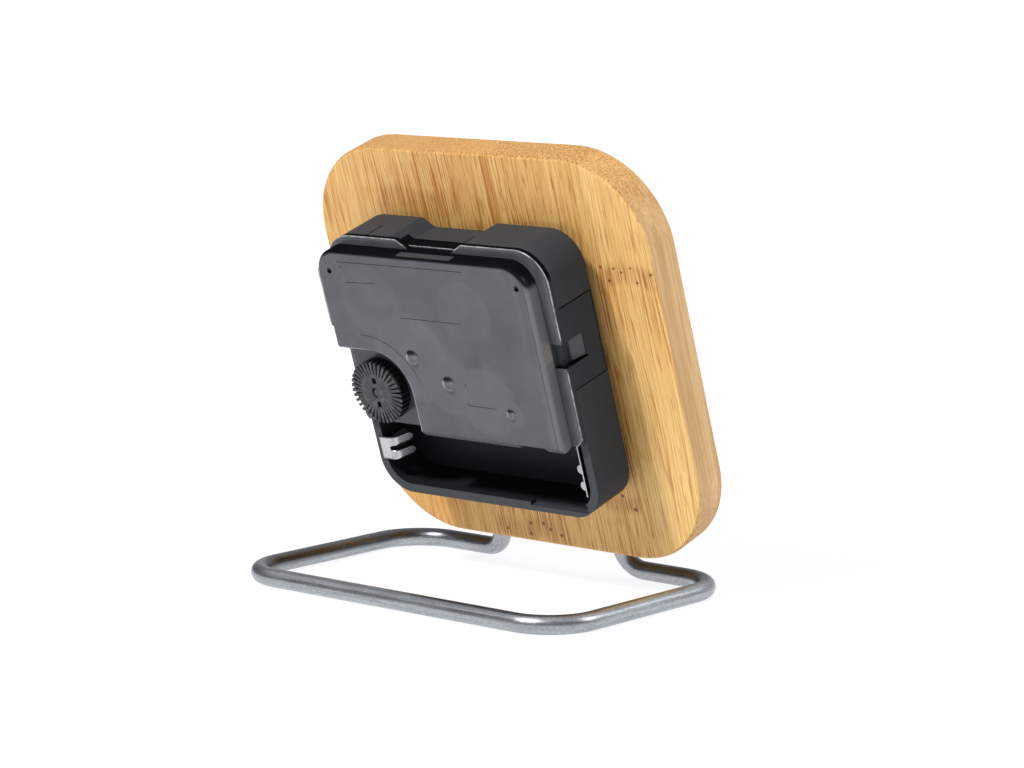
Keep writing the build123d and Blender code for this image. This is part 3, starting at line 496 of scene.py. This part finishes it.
# the smoky lid: glossy and lighter where it is flat; its walls, edges, sides and faint discs carry painted
# light and shade
lid = {
    # wall: painted shade and dark reflection; lip and rim: painted highlights; tab: painted shade on the
    # outer sides
    "wall": ink(15, 16, 18), "dark": ink(66, 66, 69), "light": ink(98, 99, 102), "lip": ink(112, 113, 116),
    "tab": ink(59, 62, 67), "rim": ink(150, 152, 155),
    "ledgeS": (-6.6, 7.2), "ledgeN": (15.2, 17.0),  # the paler ledge in the top wall
    "slotS": (13.9, 20.7), "slotT": (-11.55, -11.65), "slotN": (16.4, 16.2),  # the slot in the foot, painted black as painted shade
    "soft": 0.2,
    # painted see-through: lighter discs where the wheels below would show; s, t, radius, strength
    "discs": ((-8.1, 4.8, 9.4, 0.30), (0.0, 0.0, 6.6, 0.26), (9.0, -3.0, 7.2, 0.30), (14.5, -4.9, 3.0, 0.30),
              (8.0, 15.5, 6.5, 0.18), (-16.0, 16.0, 7.5, 0.16)),
    "discSoft": 0.7, "discDepth": (16.0, 17.1), "border": (20.5, 24.5), "rimN": (16.1, 16.5),
    "domeN": (17.33, 17.45), "flangeN": (14.3, 13.9),  # above the face, below the flange's top
    # how far a face turns to count as lip, left rim, outer side, dome's top, black wall, ledge or dull wall
    "lipTurn": (0.985, 0.80), "rimTurn": (-0.10, -0.50), "sideTurn": (0.7, 0.4), "domeTurn": (0.22, 0.62),
    "wallTurn": (0.03, 0.30), "ledgeTurn": (0.2, 0.5), "dullTurn": (0.38, 0.72),
    "haze": (0.2, 0.05, 0.2), "streaks": (0.9, 0.03, 0.4),  # scales on s, t and n
    "streakLevel": (0.4, 0.65), "borderShare": 0.45, "cloudFlat": 0.3, "cloudShare": 0.7,
    # noises: scale, detail, roughness and bend
    "cloud": (0.16, 2.0, 0.5, 0.6), "waves": (0.35, 1.0), "grain": 3500.0,
    "crescent": 0.95, "crescentDull": 0.5,  # painted shade and dark reflection on a dome's upper side: how black and how dull
    "rough": (0.10, 0.08, 0.04),  # a base, then what haze and grain add
    "gloss": 0.5, "glossTint": (0.72, 0.86, 1.0, 1.0), "bump": (0.08, 0.0002),
}


def lidFinish():
    made, where = newFinish("lidFinish")
    place = onPlate(where)
    s, t, n = place.axes()
    facing = facingOf(where)
    level, upward, across = facing.dot(outOfPlate), facing.dot(upPlate), facing.dot(acrossPlate)

    def disc(atS, atT, size, strength):  # the squared distance set against the squared radius
        gapS, gapT, soft = s - atS, t - atT, lid["discSoft"]
        return (gapS * gapS + gapT * gapT).rise((size + soft) ** 2, (size - soft) ** 2) * strength

    def pattern(name):
        byS, byT, byN = lid[name]
        return place.joined(s * byS, t * byT, n * byN).noise(1.0)

    # painted see-through: lighter discs standing in for the wheels seen through the lid
    through = strongest(disc(*row) for row in lid["discs"]) * n.rise(*lid["discDepth"])
    cloud = place.joined(s, t, n * lid["cloudFlat"]).noise(*lid["cloud"])
    haze, grain = pattern("haze"), where.noise(lid["grain"])
    # painted see-through: soft lighter streaks down the right border, standing in for the wall behind the
    # face
    border = s.rise(*lid["border"]) * pattern("streaks").rise(*lid["streakLevel"])

    soft = lid["soft"]
    # painted highlight: the left rim's rounding above the face is paler
    leftRimHighlight = across.rise(*lid["rimTurn"]) * n.rise(*lid["rimN"])
    # painted shade: the outer sides below the flange's top are darker and dull
    outerSideShade = level.rise(*lid["sideTurn"]) * n.rise(*lid["flangeN"])
    # painted shade: the faces of the notch in the foot are painted black
    slot = s.within(*lid["slotS"], soft) * t.rise(*lid["slotT"]) * n.rise(*lid["slotN"])
    onDome = n.rise(*lid["domeN"])
    crescent = upward.rise(*lid["domeTurn"]) * onDome * lid["crescent"]
    # painted shade and dark reflection: black on walls that face upward, on the upper side of domes and in
    # the foot's slot
    black = (upward.rise(*lid["wallTurn"]) * (1 - onDome)).most(crescent).most(slot)
    ledge = s.within(*lid["ledgeS"], soft) * n.within(*lid["ledgeN"], soft) * upward.rise(*lid["ledgeTurn"])
    paler = (cloud * lid["cloudShare"] + through + border * lid["borderShare"]).least(1.0)
    shade = where.tint(paler, lid["dark"], lid["light"])
    # painted light over the tone: paler lip and left rim as painted highlights, darker outer sides and black
    # walls as painted shade
    for amount, colour in ((level.rise(*lid["lipTurn"]), "lip"), (leftRimHighlight, "rim"), (outerSideShade, "tab"),
                           (black, "wall"), (ledge, "dark")):
        shade = where.tint(amount, shade, lid[colour])

    # what reflects little
    dull = upward.rise(*lid["dullTurn"]).most(outerSideShade).most(slot).most(crescent * lid["crescentDull"])
    waves = place.joined(s, t, n).noise(*lid["waves"]).bump(*lid["bump"])
    rough, byHaze, byGrain = lid["rough"]
    looks = {"Base_Color": shade, "Roughness": rough + haze * byHaze + grain * byGrain,
             "Specular_Tint": lid["glossTint"], "Normal": waves}
    face = shader(where, Specular_IOR_Level=lid["gloss"], **looks)
    wall = shader(where, Specular_IOR_Level=0.0, **looks)
    return close(made, where, where.node("MixShader", {}, {0: dull, 1: face, 2: wall}))


# painted highlight lines on the lid's edges, brighter and dimmer along their length
lidHighlight = {"dark": ink(112, 114, 118), "light": ink(176, 178, 182), "rough": (0.16, 0.12), "gloss": 0.5,
           # wear: the noise along the beads that makes the painted highlight brighter and dimmer
           "wear": (420.0, 3.0, 0.6), "wearLevel": (0.35, 0.65), "bump": (0.2, 0.00002)}


def lidHighlightFinish():
    made, where = newFinish("lidHighlightFinish")
    # painted highlight: the beads' colour runs between a grey and a bright grey by the noise
    rubbed = where.noise(*lidHighlight["wear"])
    shade = where.tint(rubbed.rise(*lidHighlight["wearLevel"]), lidHighlight["dark"], lidHighlight["light"])
    return coat(made, where, Base_Color=shade, Roughness=rubbed.onto(*lidHighlight["rough"]),
                Specular_IOR_Level=lidHighlight["gloss"], Normal=rubbed.bump(*lidHighlight["bump"]))


# colour, roughness, scale of the scratches along s, t and n, their depth in metres
metals = {
    "contact_steel": ((205, 206, 208), 0.24, (1.2, 9.0, 9.0), 0.000006),
    "nut_steel": ((186, 188, 190), 0.30, (5.0, 5.0, 5.0), 0.000006),
    "bush_brass": ((206, 172, 96), 0.30, (5.0, 5.0, 5.0), 0.000006),
    "arbor_steel": ((190, 192, 196), 0.22, (8.0, 8.0, 0.6), 0.000004),
    "magnet": ((70, 70, 74), 0.42, (6.0, 6.0, 6.0), 0.00001),
    "stator_steel": ((168, 170, 172), 0.38, (1.0, 10.0, 10.0), 0.000006),
    "copper": ((196, 112, 62), 0.30, (0.5, 14.0, 14.0), 0.00001),
    "crystal_can": ((212, 212, 214), 0.20, (9.0, 1.0, 9.0), 0.000004),
}

# what the worked metals share
working = {
    "stains": 220.0, "scratches": (1.0, 4.0, 0.65),  # noises: scale, detail and roughness
    "mix": (0.6, 0.4),  # shares of scratches and stains in the colour
    "darker": 0.80, "lighter": 1.08,  # the colour's two ends
    "rough": (-0.05, 0.12, 0.05),  # a base, then what scratches and stains add
    "bump": 0.4,
}


def metalFinish(name):
    # worked metal: scratches are noise with its own scale on each plate axis, in gloss, tone and bump
    colour, rough, scale, depth = metals[name]
    made, where = newFinish(name + "Finish")
    s, t, n = onPlate(where).axes()
    scratch = where.joined(s * scale[0], t * scale[1], n * scale[2]).noise(*working["scratches"])
    stain = where.noise(working["stains"])
    dark = ink(*[c * working["darker"] for c in colour])
    light = ink(*[min(255, c * working["lighter"]) for c in colour])
    shade = where.tint(added(working["mix"], scratch, stain), dark, light)
    lower, byScratch, byStain = working["rough"]
    return coat(made, where, Base_Color=shade, Metallic=1.0,
                Roughness=rough + lower + scratch * byScratch + stain * byStain,
                Normal=scratch.bump(working["bump"], depth))


# hands: black lacquer over brushed metal
hands = {
    "dark": ink(18, 18, 19), "light": ink(40, 39, 38), "rough": (0.30, 0.12), "gloss": 0.5,
    "brush": (0.4, 9.0), "strokes": (1.0, 4.0, 0.65),  # scale along and across; the noise
    "speckle": 5000.0, "mix": (0.7, 0.3), "relief": 0.3, "bump": (0.3, 0.00001),
}


def handFinish():
    made, where = newFinish("handFinish")
    s, t, n = onPlate(where).axes()
    long, wide = hands["brush"]
    brushed = where.joined(s * long, t * wide, n).noise(*hands["strokes"])
    speckle = where.noise(hands["speckle"])
    shade = where.tint(added(hands["mix"], brushed, speckle), hands["dark"], hands["light"])
    return coat(made, where, Base_Color=shade, Roughness=brushed.onto(*hands["rough"]),
                Specular_IOR_Level=hands["gloss"],
                Normal=(brushed + speckle * hands["relief"]).bump(*hands["bump"]))


# board: green lacquer over a faint weave and copper tracks
board = {"lacquer": ink(28, 92, 52), "dark": ink(16, 64, 38), "track": ink(64, 128, 72),
         "weave": 9.0, "weaveTone": (0.25, 0.5), "tracks": 0.5, "trackEdge": (0.10, 0.07),
         "trackShare": 0.7, "rough": (0.32, 0.05), "bump": (0.3, 0.00003)}


def boardFinish():
    made, where = newFinish("boardFinish")
    s, t = onPlate(where).axes()[:2]
    weave = (s * board["weave"]).sine() * (t * board["weave"]).sine()
    flatPlace = where.joined(s * board["tracks"], t * board["tracks"], 0.0)
    tracks = flatPlace.cells(1.0, "DISTANCE_TO_EDGE").rise(*board["trackEdge"])
    gain, base = board["weaveTone"]
    shade = where.tint(weave * gain + base, board["dark"], board["lacquer"])
    shade = where.tint(tracks * board["trackShare"], shade, board["track"])
    return coat(made, where, Base_Color=shade, Roughness=weave.onto(*board["rough"]),
                Normal=tracks.bump(*board["bump"]))


def newPiece(name, points, faces):
    # a mesh object in the scene, from an array of points in metres and a list of faces
    mesh = bpy.data.meshes.new(name)
    mesh.from_pydata(points.tolist(), [], faces)
    made = bpy.data.objects.new(name, mesh)
    bpy.context.scene.collection.objects.link(made)
    return made


def addSheet(made, thickness):
    # gives a flat piece its thickness, half to each side
    wall = made.modifiers.new("sheet", "SOLIDIFY")
    wall.thickness, wall.offset, wall.use_even_offset = thickness / metre, 0.0, True


def gridFaces(rows, columns, start=0, turned=False):
    # quads of a grid whose points run row by row
    row, column = np.meshgrid(np.arange(rows - 1), np.arange(columns - 1), indexing="ij")
    corner = row * columns + column + start
    faces = np.stack([corner, corner + columns, corner + columns + 1, corner + 1], -1).reshape(-1, 4)
    return faces[:, ::-1] if turned else faces


def runLength(line):
    # the way travelled along a line up to each of its points
    return np.concatenate([[0], np.cumsum(np.linalg.norm(np.diff(line, axis=0), axis=1))])


def bentLine(corners, bends, bendSteps, runStep):
    # straight runs joined by arcs that touch both runs at each corner:
    # arc = start + bend * (sin a * the way in + (1 - cos a) * inward)
    corners = np.asarray(corners, float)
    parts, last = [], corners[0]
    for before, corner, after, bend in zip(corners[:-2], corners[1:-1], corners[2:], bends):
        come = (corner - before) / np.linalg.norm(corner - before)
        go = (after - corner) / np.linalg.norm(after - corner)
        turn = math.acos(np.clip(come @ go, -1, 1))
        start = corner - come * bend * math.tan(turn / 2)
        inward = go - come * (come @ go)
        inward /= np.linalg.norm(inward)
        count = max(2, int(np.linalg.norm(start - last) / runStep))
        parts.append(last + (start - last) * np.linspace(0, 1, count, endpoint=False)[:, None])
        angle = np.linspace(0, turn, bendSteps, endpoint=False)[:, None]
        parts.append(start + bend * (np.sin(angle) * come + (1 - np.cos(angle)) * inward))
        last = start + bend * (math.sin(turn) * come + (1 - math.cos(turn)) * inward)
    count = max(2, int(np.linalg.norm(corners[-1] - last) / runStep))
    parts.append(last + (corners[-1] - last) * np.linspace(0, 1, count)[:, None])
    return np.concatenate(parts)


def addTube(name, line, radii, around, lookUp, flatness=1.0):
    # a ring carried along a line in metres, with a pole at each end:
    # point + radius * (cos a * sideways + flatness * sin a * upward)
    ahead = np.gradient(line, axis=0)
    ahead /= np.linalg.norm(ahead, axis=1)[:, None]
    sideways = np.cross(ahead, np.asarray(lookUp, float))
    sideways /= np.linalg.norm(sideways, axis=1)[:, None]
    upward = np.cross(sideways, ahead)
    angle = np.linspace(0, 2 * math.pi, around, endpoint=False)[None, :, None]
    ring = np.cos(angle) * sideways[:, None] + flatness * np.sin(angle) * upward[:, None]
    skin = line[:, None] + radii[:, None, None] * ring
    points = np.concatenate([skin.reshape(-1, 3), line[:1], line[-1:]])

    rows = len(line)
    row, column = np.meshgrid(np.arange(rows - 1), np.arange(around), indexing="ij")
    beside = (column + 1) % around
    walls = np.stack([row * around + column, (row + 1) * around + column,
                      (row + 1) * around + beside, row * around + beside], -1).reshape(-1, 4)
    spoke = np.arange(around)
    nextSpoke = (spoke + 1) % around
    firstPole, lastPole = np.full(around, rows * around), np.full(around, rows * around + 1)
    lastRing = (rows - 1) * around
    first = np.stack([firstPole, spoke, nextSpoke], -1)
    final = np.stack([lastPole, lastRing + nextSpoke, lastRing + spoke], -1)
    made = newPiece(name, points, walls.tolist() + first.tolist() + final.tolist())

    # the map gives millimetres along the line and the share of a turn round it
    travelled = runLength(line) * metre
    near, far = travelled[row], travelled[row + 1]
    alongWall = np.stack([near, far, far, near], -1).reshape(-1)
    roundWall = (np.stack([column, column, column + 1, column + 1], -1) / around).reshape(-1)
    pole, here, there = np.full(around, 0.5), spoke / around, (spoke + 1) / around
    fan = np.stack([pole, here, there], -1).reshape(-1)
    fanBack = np.stack([pole, there, here], -1).reshape(-1)
    alongAll = np.concatenate([alongWall, np.full(len(fan), travelled[0]), np.full(len(fan), travelled[-1])])
    roundAll = np.concatenate([roundWall, fan, fanBack])
    layer = made.data.uv_layers.new(name="alongLine")
    layer.data.foreach_set("uv", np.stack([alongAll, roundAll], -1).astype(np.float32).ravel())
    made.data.shade_smooth()
    return made


# the stand is one bent wire
stand = {
    # corners of the wire's middle line, and the bend radius at each
    "corners": ((-15.7, 0.40, 18.92), (-15.7, -5.078, 1.85), (-41.0, -5.078, 1.85), (-41.0, 46.4, 1.85),
                (41.0, 46.4, 1.85), (41.0, -5.078, 1.85), (15.7, -5.078, 1.85), (15.7, 0.40, 18.92)),
    "bends": (4.7, 10.5, 10.0, 10.0, 10.5, 4.7), "backShift": -20.6448, "radius": 1.85, "endRound": 0.35,
    "around": 40, "bendSteps": 14, "runStep": 2.0, "lookUp": (0, 0.5, -0.87),
    "bright": ink(198, 202, 208), "dull": ink(122, 126, 132), "inner": ink(58, 66, 80),
    "innerTurn": 0.62, "innerSpread": (0.20, 0.07),  # where the painted dark reflection sits: a share of a turn round the wire
    # patterns: scale round the wire and along it, then scale, detail and roughness of the noise
    "drawn": (7.0, 0.05, 1.0, 4.0, 0.65), "worn": (1.2, 0.09, 1.0, 3.0, 0.55),
    "pits": (3.0, 1.4, 1.6, 3.0, 0.7),
    "shine": (0.6, 0.3, 0.5), "shineLess": 0.2, "shineLevel": (0.2, 0.8),  # shares of drawn, worn and pits
    "innerShade": (0.55, 0.4),  # strength of the painted dark reflection: a base and what worn spots add
    "rough": (0.24, 0.10, 0.06, 0.04),  # a base, then what drawn, worn and pits add
    "relief": (0.7, 0.6), "bump": (0.40, 0.00004),  # shares of drawn and pits
}


def standFinish():
    # drawn steel wire: streaks run along it, so noise is read on a ring of cos and sin and slowly along
    made, where = newFinish("standFinish")
    along, turn = where.node("UVMap", {"uv_map": "alongLine"}).axes()[:2]
    angle = turn * (2 * math.pi)
    ringX, ringY = angle.cosine(), angle.sine()

    def pattern(name):
        wide, long, scale, detail, rough = stand[name]
        return where.joined(ringX * wide, ringY * wide, along * long).noise(scale, detail, rough)

    drawn, worn, pits = pattern("drawn"), pattern("worn"), pattern("pits")
    shine = (added(stand["shine"], drawn, worn, pits) - stand["shineLess"]).rise(*stand["shineLevel"])
    shade = where.tint(shine, stand["dull"], stand["bright"])
    # painted reflection and shade: the inner upper side of the wire, towards the plate, is darker, more or
    # less by the worn pattern
    inner = abs(turn - stand["innerTurn"]).rise(*stand["innerSpread"])
    shade = where.tint(inner * worn.onto(*stand["innerShade"]), shade, stand["inner"])
    rough, byDrawn, byWorn, byPits = stand["rough"]
    return coat(made, where, Base_Color=shade, Metallic=1.0,
                Roughness=rough + drawn * byDrawn + worn * byWorn + pits * byPits,
                Normal=added(stand["relief"], drawn, pits).bump(*stand["bump"]))


middle = bentLine(stand["corners"], stand["bends"], stand["bendSteps"], stand["runStep"])
middle[:, 1] += stand["backShift"]
lengths = runLength(middle)
# the two cut ends are rounded over a short way: radius follows a quarter circle
nearEnd = np.clip(np.minimum(lengths, lengths[-1] - lengths) / stand["endRound"], 0, 1)
wireRadii = stand["radius"] - stand["endRound"] * (1 - np.sqrt(1 - (1 - nearEnd) ** 2))
wire = addTube("bentWire", middle / metre, wireRadii / metre, stand["around"], stand["lookUp"])
wire.data.materials.append(standFinish())
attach(wire, "clock")
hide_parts("wire_stand")
print("stand wire:", len(wire.data.vertices), "points")

# thin lines on the lid: beads on its edges in a bright colour as painted highlight lines, ridges on its face
lidLines = {
    # corners in s, t and n, the bend at each inner corner, radius
    "leftBead": (((-27.94, 20.5, 13.9), (-27.94, 27.94, 13.9), (-8.9, 27.94, 13.9), (-6.2, 26.3, 13.9)),
                 (6.9, 0.8), 0.13),
    "rightBead": (((5.3, 26.3, 13.9), (8.0, 27.94, 13.9), (27.94, 27.94, 13.9), (27.94, 9.6, 13.9)),
                  (0.8, 6.9), 0.13),
    "lowBead": (((27.94, 4.2, 13.9), (27.94, -10.4, 13.9), (25.7, -12.6, 13.9)), (0.6,), 0.13),
    "sideBead": (((-28.38, 22.0, 16.85), (-28.38, 9.6, 16.85)), (), 0.15),
    "notchBead": (((-8.1, 26.36, 12.55), (4.9, 26.36, 12.55)), (), 0.09),
    "topRidge": (((-23.2, 23.7, 17.28), (-6.0, 23.9, 17.28), (10.2, 24.0, 17.28)), (60.0,), 0.16),
    "midRidge": (((-9.5, 13.05, 17.28), (-1.0, 13.06, 17.28), (7.3, 13.08, 17.28)), (60.0,), 0.14),
    "frameRidge": (((-21.7, 23.2, 17.28), (-21.5, 19.5, 17.28), (-12.9, 19.8, 17.28)), (0.4,), 0.14),
    "knobRidge": (((-21.5, 8.4, 17.28), (-6.9, 8.4, 17.28), (-6.9, -6.5, 17.28)), (13.0,), 0.14),
    "cornerRidge": (((4.5, 0.6, 17.28), (3.4, -4.2, 17.28), (11.4, -4.2, 17.28)), (0.9,), 0.14),
    "ridgeFlatness": 0.55, "taper": 0.5, "thinnest": 0.05, "around": 12, "bendSteps": 10, "runStep": 0.8,
}


def addLidLine(name, finish):
    # a small tube along the bent line; towards both ends its radius falls with the root of the way left
    corners, bends, radius = lidLines[name]
    line = bentLine(corners, bends, lidLines["bendSteps"], lidLines["runStep"])
    run = runLength(line)
    share = np.clip(np.minimum(run, run[-1] - run) / lidLines["taper"], lidLines["thinnest"], 1)
    flatness = lidLines["ridgeFlatness"] if name.endswith("Ridge") else 1.0
    radii = radius * np.sqrt(share) / metre
    made = addTube(name, fromPlate(line), radii, lidLines["around"], outOfPlate, flatness)
    made.data.materials.append(finish)
    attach(made, "clock")


# the fork that meets the flat end of the cell: a bent sheet with a slot
fork = {
    "path": ((-27.2, 0.0, 12.65), (-23.75, 0.0, 12.65), (-22.05, 0.0, 8.6)), "bend": 1.7,
    "middle": -18.785, "halfWidth": 2.4, "slotHalf": 0.55, "slotFrom": 2.35, "sheet": 0.3,
    "legS": -26.05, "legT": (-20.8, -16.985), "legN": (5.8, 12.45), "legRound": 1.0,
    "bendSteps": 16, "runStep": 0.3, "rootRows": 10, "roundRows": 10, "prongRows": 24, "columns": 7,
    "legRows": 16, "legColumns": 9, "weld": 1e-6,  # the weld in metres
}


def addFork(finish):
    # u runs along the bent path and v across it; the slot's inner end and the two tips are half circles:
    # edge = radius * sqrt(1 - (distance / radius) ** 2)
    path = bentLine(fork["path"], (fork["bend"],), fork["bendSteps"], fork["runStep"])
    run = runLength(path)
    reach, slot, width, begin = run[-1], fork["slotHalf"], fork["halfWidth"], fork["slotFrom"]
    tip, prong = (width - slot) / 2, (width + slot) / 2  # a prong's half width and its middle
    quarter = np.linspace(0, math.pi / 2, fork["roundRows"])
    u = np.concatenate([np.linspace(0, begin, fork["rootRows"], endpoint=False),
                        begin + slot * (1 - np.cos(quarter)),
                        np.linspace(begin + slot, reach - tip, fork["prongRows"])[1:-1],
                        reach - tip + tip * np.sin(quarter)])
    inner = np.where(u > begin, slot * np.sqrt(1 - np.clip(1 - (u - begin) / slot, 0, 1) ** 2), 0.0)
    tipHalf = tip * np.sqrt(1 - np.clip((u - reach + tip) / tip, 0, 1) ** 2)
    low = np.where(u > reach - tip, prong - tipHalf, inner)
    high = np.where(u > reach - tip, prong + tipHalf, width)
    columns = fork["columns"]
    v = low[:, None] + (high - low)[:, None] * np.linspace(0, 1, columns)[None]
    atS = np.interp(u, run, path[:, 0])[:, None] + 0 * v
    atN = np.interp(u, run, path[:, 2])[:, None] + 0 * v
    upper = np.stack([atS, fork["middle"] + v, atN], -1).reshape(-1, 3)
    lower = np.stack([atS, fork["middle"] - v, atN], -1).reshape(-1, 3)

    # the leg down the bay's wall: its lower end narrows with a quarter circle at each corner
    (foot, head), (lowT, highT) = fork["legN"], fork["legT"]
    down = np.linspace(head, foot, fork["legRows"])
    nearFoot = np.clip(1 - (down - foot) / fork["legRound"], 0, 1)
    cut = fork["legRound"] * (1 - np.sqrt(1 - nearFoot ** 2))
    legT = (lowT + cut)[:, None] + (highT - lowT - 2 * cut)[:, None] * np.linspace(0, 1, fork["legColumns"])
    leg = np.stack([np.full_like(legT, fork["legS"]), legT, down[:, None] + 0 * legT], -1).reshape(-1, 3)
    points = fromPlate(np.concatenate([upper, lower, leg]))
    faces = np.concatenate([gridFaces(len(u), columns), gridFaces(len(u), columns, len(upper), True),
                            gridFaces(fork["legRows"], fork["legColumns"], 2 * len(upper))])
    made = newPiece("forkContact", points, faces.tolist())
    shape = bmesh.new()
    shape.from_mesh(made.data)
    bmesh.ops.remove_doubles(shape, verts=shape.verts, dist=fork["weld"])
    bmesh.ops.recalc_face_normals(shape, faces=shape.faces)
    shape.to_mesh(made.data)
    shape.free()
    made.data.shade_smooth()
    addSheet(made, fork["sheet"])
    made.data.materials.append(finish)
    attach(made, "clock")
    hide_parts("negative_contact")


# the lid's thin lip over the hanging notch of the case: its outline in s and t, and its reach along n
notchLip = {
    "outline": ((-9.65, 27.1, 0.0), (-8.377, 26.28, 0.0), (5.177, 26.28, 0.0), (7.6, 27.838, 0.0)),
    "bends": (0.5, 0.5), "reach": (9.2, 12.78), "sheet": 0.14, "columns": 6, "bendSteps": 6, "runStep": 0.8,
}


def addNotchLip(finish):
    # u follows the outline and v runs straight along n: outline(u) + v * n
    line = bentLine(notchLip["outline"], notchLip["bends"], notchLip["bendSteps"], notchLip["runStep"])
    v = np.linspace(*notchLip["reach"], notchLip["columns"])
    grid = line[:, None] + v[None, :, None] * np.array([0.0, 0.0, 1.0])
    faces = gridFaces(len(line), notchLip["columns"])
    made = newPiece("notchLip", fromPlate(grid.reshape(-1, 3)), faces.tolist())
    addSheet(made, notchLip["sheet"])
    made.data.materials.append(finish)
    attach(made, "clock")


# each CAD piece gets the finish of its slot
finishes = {"bamboo": bambooFinish(), "case_plastic": caseFinish(), "knob_plastic": knobFinish(),
            "lid_plastic": lidFinish(), "hand_metal": handFinish(), "board": boardFinish()}
finishes.update({name: plasticFinish(name) for name in plastics})
finishes.update({name: metalFinish(name) for name in metals})
for row in frame["record"]["subparts"]:
    finish = finishes.get(row["material_slot"])  # the stand's wire has its own
    if finish:
        for held in nodes[row["node"]].material_slots:
            held.material = finish
print("finishes:", len(finishes))

highlightFinish = lidHighlightFinish()
for name in lidLines:
    if name.endswith("Bead"):
        addLidLine(name, highlightFinish)
    elif name.endswith("Ridge"):
        addLidLine(name, finishes["lid_plastic"])
addNotchLip(finishes["lid_plastic"])
addFork(finishes["contact_steel"])
print("lid lines and contact in place")

# the floor is a light table: it glows a little, so shadows on it stay faint; its half size is in metres
stage = {
    "floorHalf": 9.0, "floor": (0.16, 0.16, 0.16, 1.0), "floorRough": 0.85, "floorGloss": 0.1,
    "glow": (0.97, 0.98, 1.0, 1.0), "glowStrength": 0.90,
    "sky": 0.60, "horizon": 0.12, "skyRise": (0.45, 0.85),
    "sideFill": 0.12, "sideRise": (-0.15, -0.85), "frontFill": 0.45, "frontRise": (-0.25, -0.85),
}


def addFloor():
    # a flat grid of four squares at height 0
    edge = np.linspace(-stage["floorHalf"], stage["floorHalf"], 3)
    x, y = np.meshgrid(edge, edge, indexing="ij")
    points = np.stack([x, y, np.zeros_like(x)], -1).reshape(-1, 3)
    made = newPiece("paleFloor", points, gridFaces(len(edge), len(edge)).tolist())
    finish, where = newFinish("floorFinish")
    coat(finish, where, Base_Color=stage["floor"], Roughness=stage["floorRough"],
         Specular_IOR_Level=stage["floorGloss"],
         Emission_Color=stage["glow"], Emission_Strength=stage["glowStrength"])
    made.data.materials.append(finish)


def addWorld():
    # the sky grows brighter from the horizon up, towards the right of the view and before the clock's front
    world = bpy.data.worlds.new("studio")
    bpy.context.scene.world = world
    world.use_nodes = True
    world.node_tree.nodes.clear()
    where = Wire(world.node_tree.nodes.new("ShaderNodeTexCoord").outputs["Generated"])
    left, back, up = where.axes()
    level = up.rise(*stage["skyRise"]) * (stage["sky"] - stage["horizon"]) + stage["horizon"]
    level = level + left.rise(*stage["sideRise"]) * stage["sideFill"]
    level = level + back.rise(*stage["frontRise"]) * stage["frontFill"]
    sky = where.node("Background", {}, {"Color": (1, 1, 1, 1), "Strength": level})
    where.node("OutputWorld", {}, {"Surface": sky}, ())


# broad soft lamps: direction to each, width in degrees, strength, colour
lamps = {
    "keyLamp": ((0.14, 0.66, 0.75), 8.0, 3.15, (1.0, 0.985, 0.96)),  # high behind the clock
    "fillLamp": ((-0.62, -0.52, 0.58), 24.0, 0.80, (1.0, 0.99, 0.97)),  # before its front, to the right
}


def addLamp(name):
    towards, width, strength, colour = lamps[name]
    data = bpy.data.lights.new(name, "SUN")
    data.energy, data.angle, data.color = strength, math.radians(width), colour
    made = bpy.data.objects.new(name, data)
    made.rotation_euler = Vector(towards).to_track_quat("Z", "Y").to_euler()
    made.location = Vector(towards)
    bpy.context.scene.collection.objects.link(made)


# the camera: turns in degrees, target, distance and clipping in metres, lens and sensor in mm
view = {"azimuth": 220.818, "elevation": 8.51, "roll": -0.278, "target": (0.009576, -0.020645, 0.036868),
        "distance": 0.66185, "lens": 116.02, "sensor": 36.0, "clip": (0.01, 50.0)}


def addCamera():
    turn, rise, roll = [math.radians(view[name]) for name in ("azimuth", "elevation", "roll")]
    backward = Vector((math.sin(turn) * math.cos(rise), -math.cos(turn) * math.cos(rise), math.sin(rise)))
    toRight = (-backward).cross(Vector((0, 0, 1))).normalized()
    toTop = toRight.cross(-backward)
    right = toRight * math.cos(roll) + toTop * math.sin(roll)
    top = toTop * math.cos(roll) - toRight * math.sin(roll)
    data = bpy.data.cameras.new("view")
    data.lens, data.sensor_width, data.sensor_fit = view["lens"], view["sensor"], "HORIZONTAL"
    data.clip_start, data.clip_end = view["clip"]
    made = bpy.data.objects.new("view", data)
    turned = Matrix((right, top, backward)).transposed().to_4x4()
    made.matrix_world = Matrix.Translation(Vector(view["target"]) + backward * view["distance"]) @ turned
    bpy.context.scene.collection.objects.link(made)
    bpy.context.scene.camera = made


addFloor()
addWorld()
for name in lamps:
    addLamp(name)
addCamera()
bpy.context.scene.view_settings.view_transform = "Standard"
print("floor, lights and camera in place")
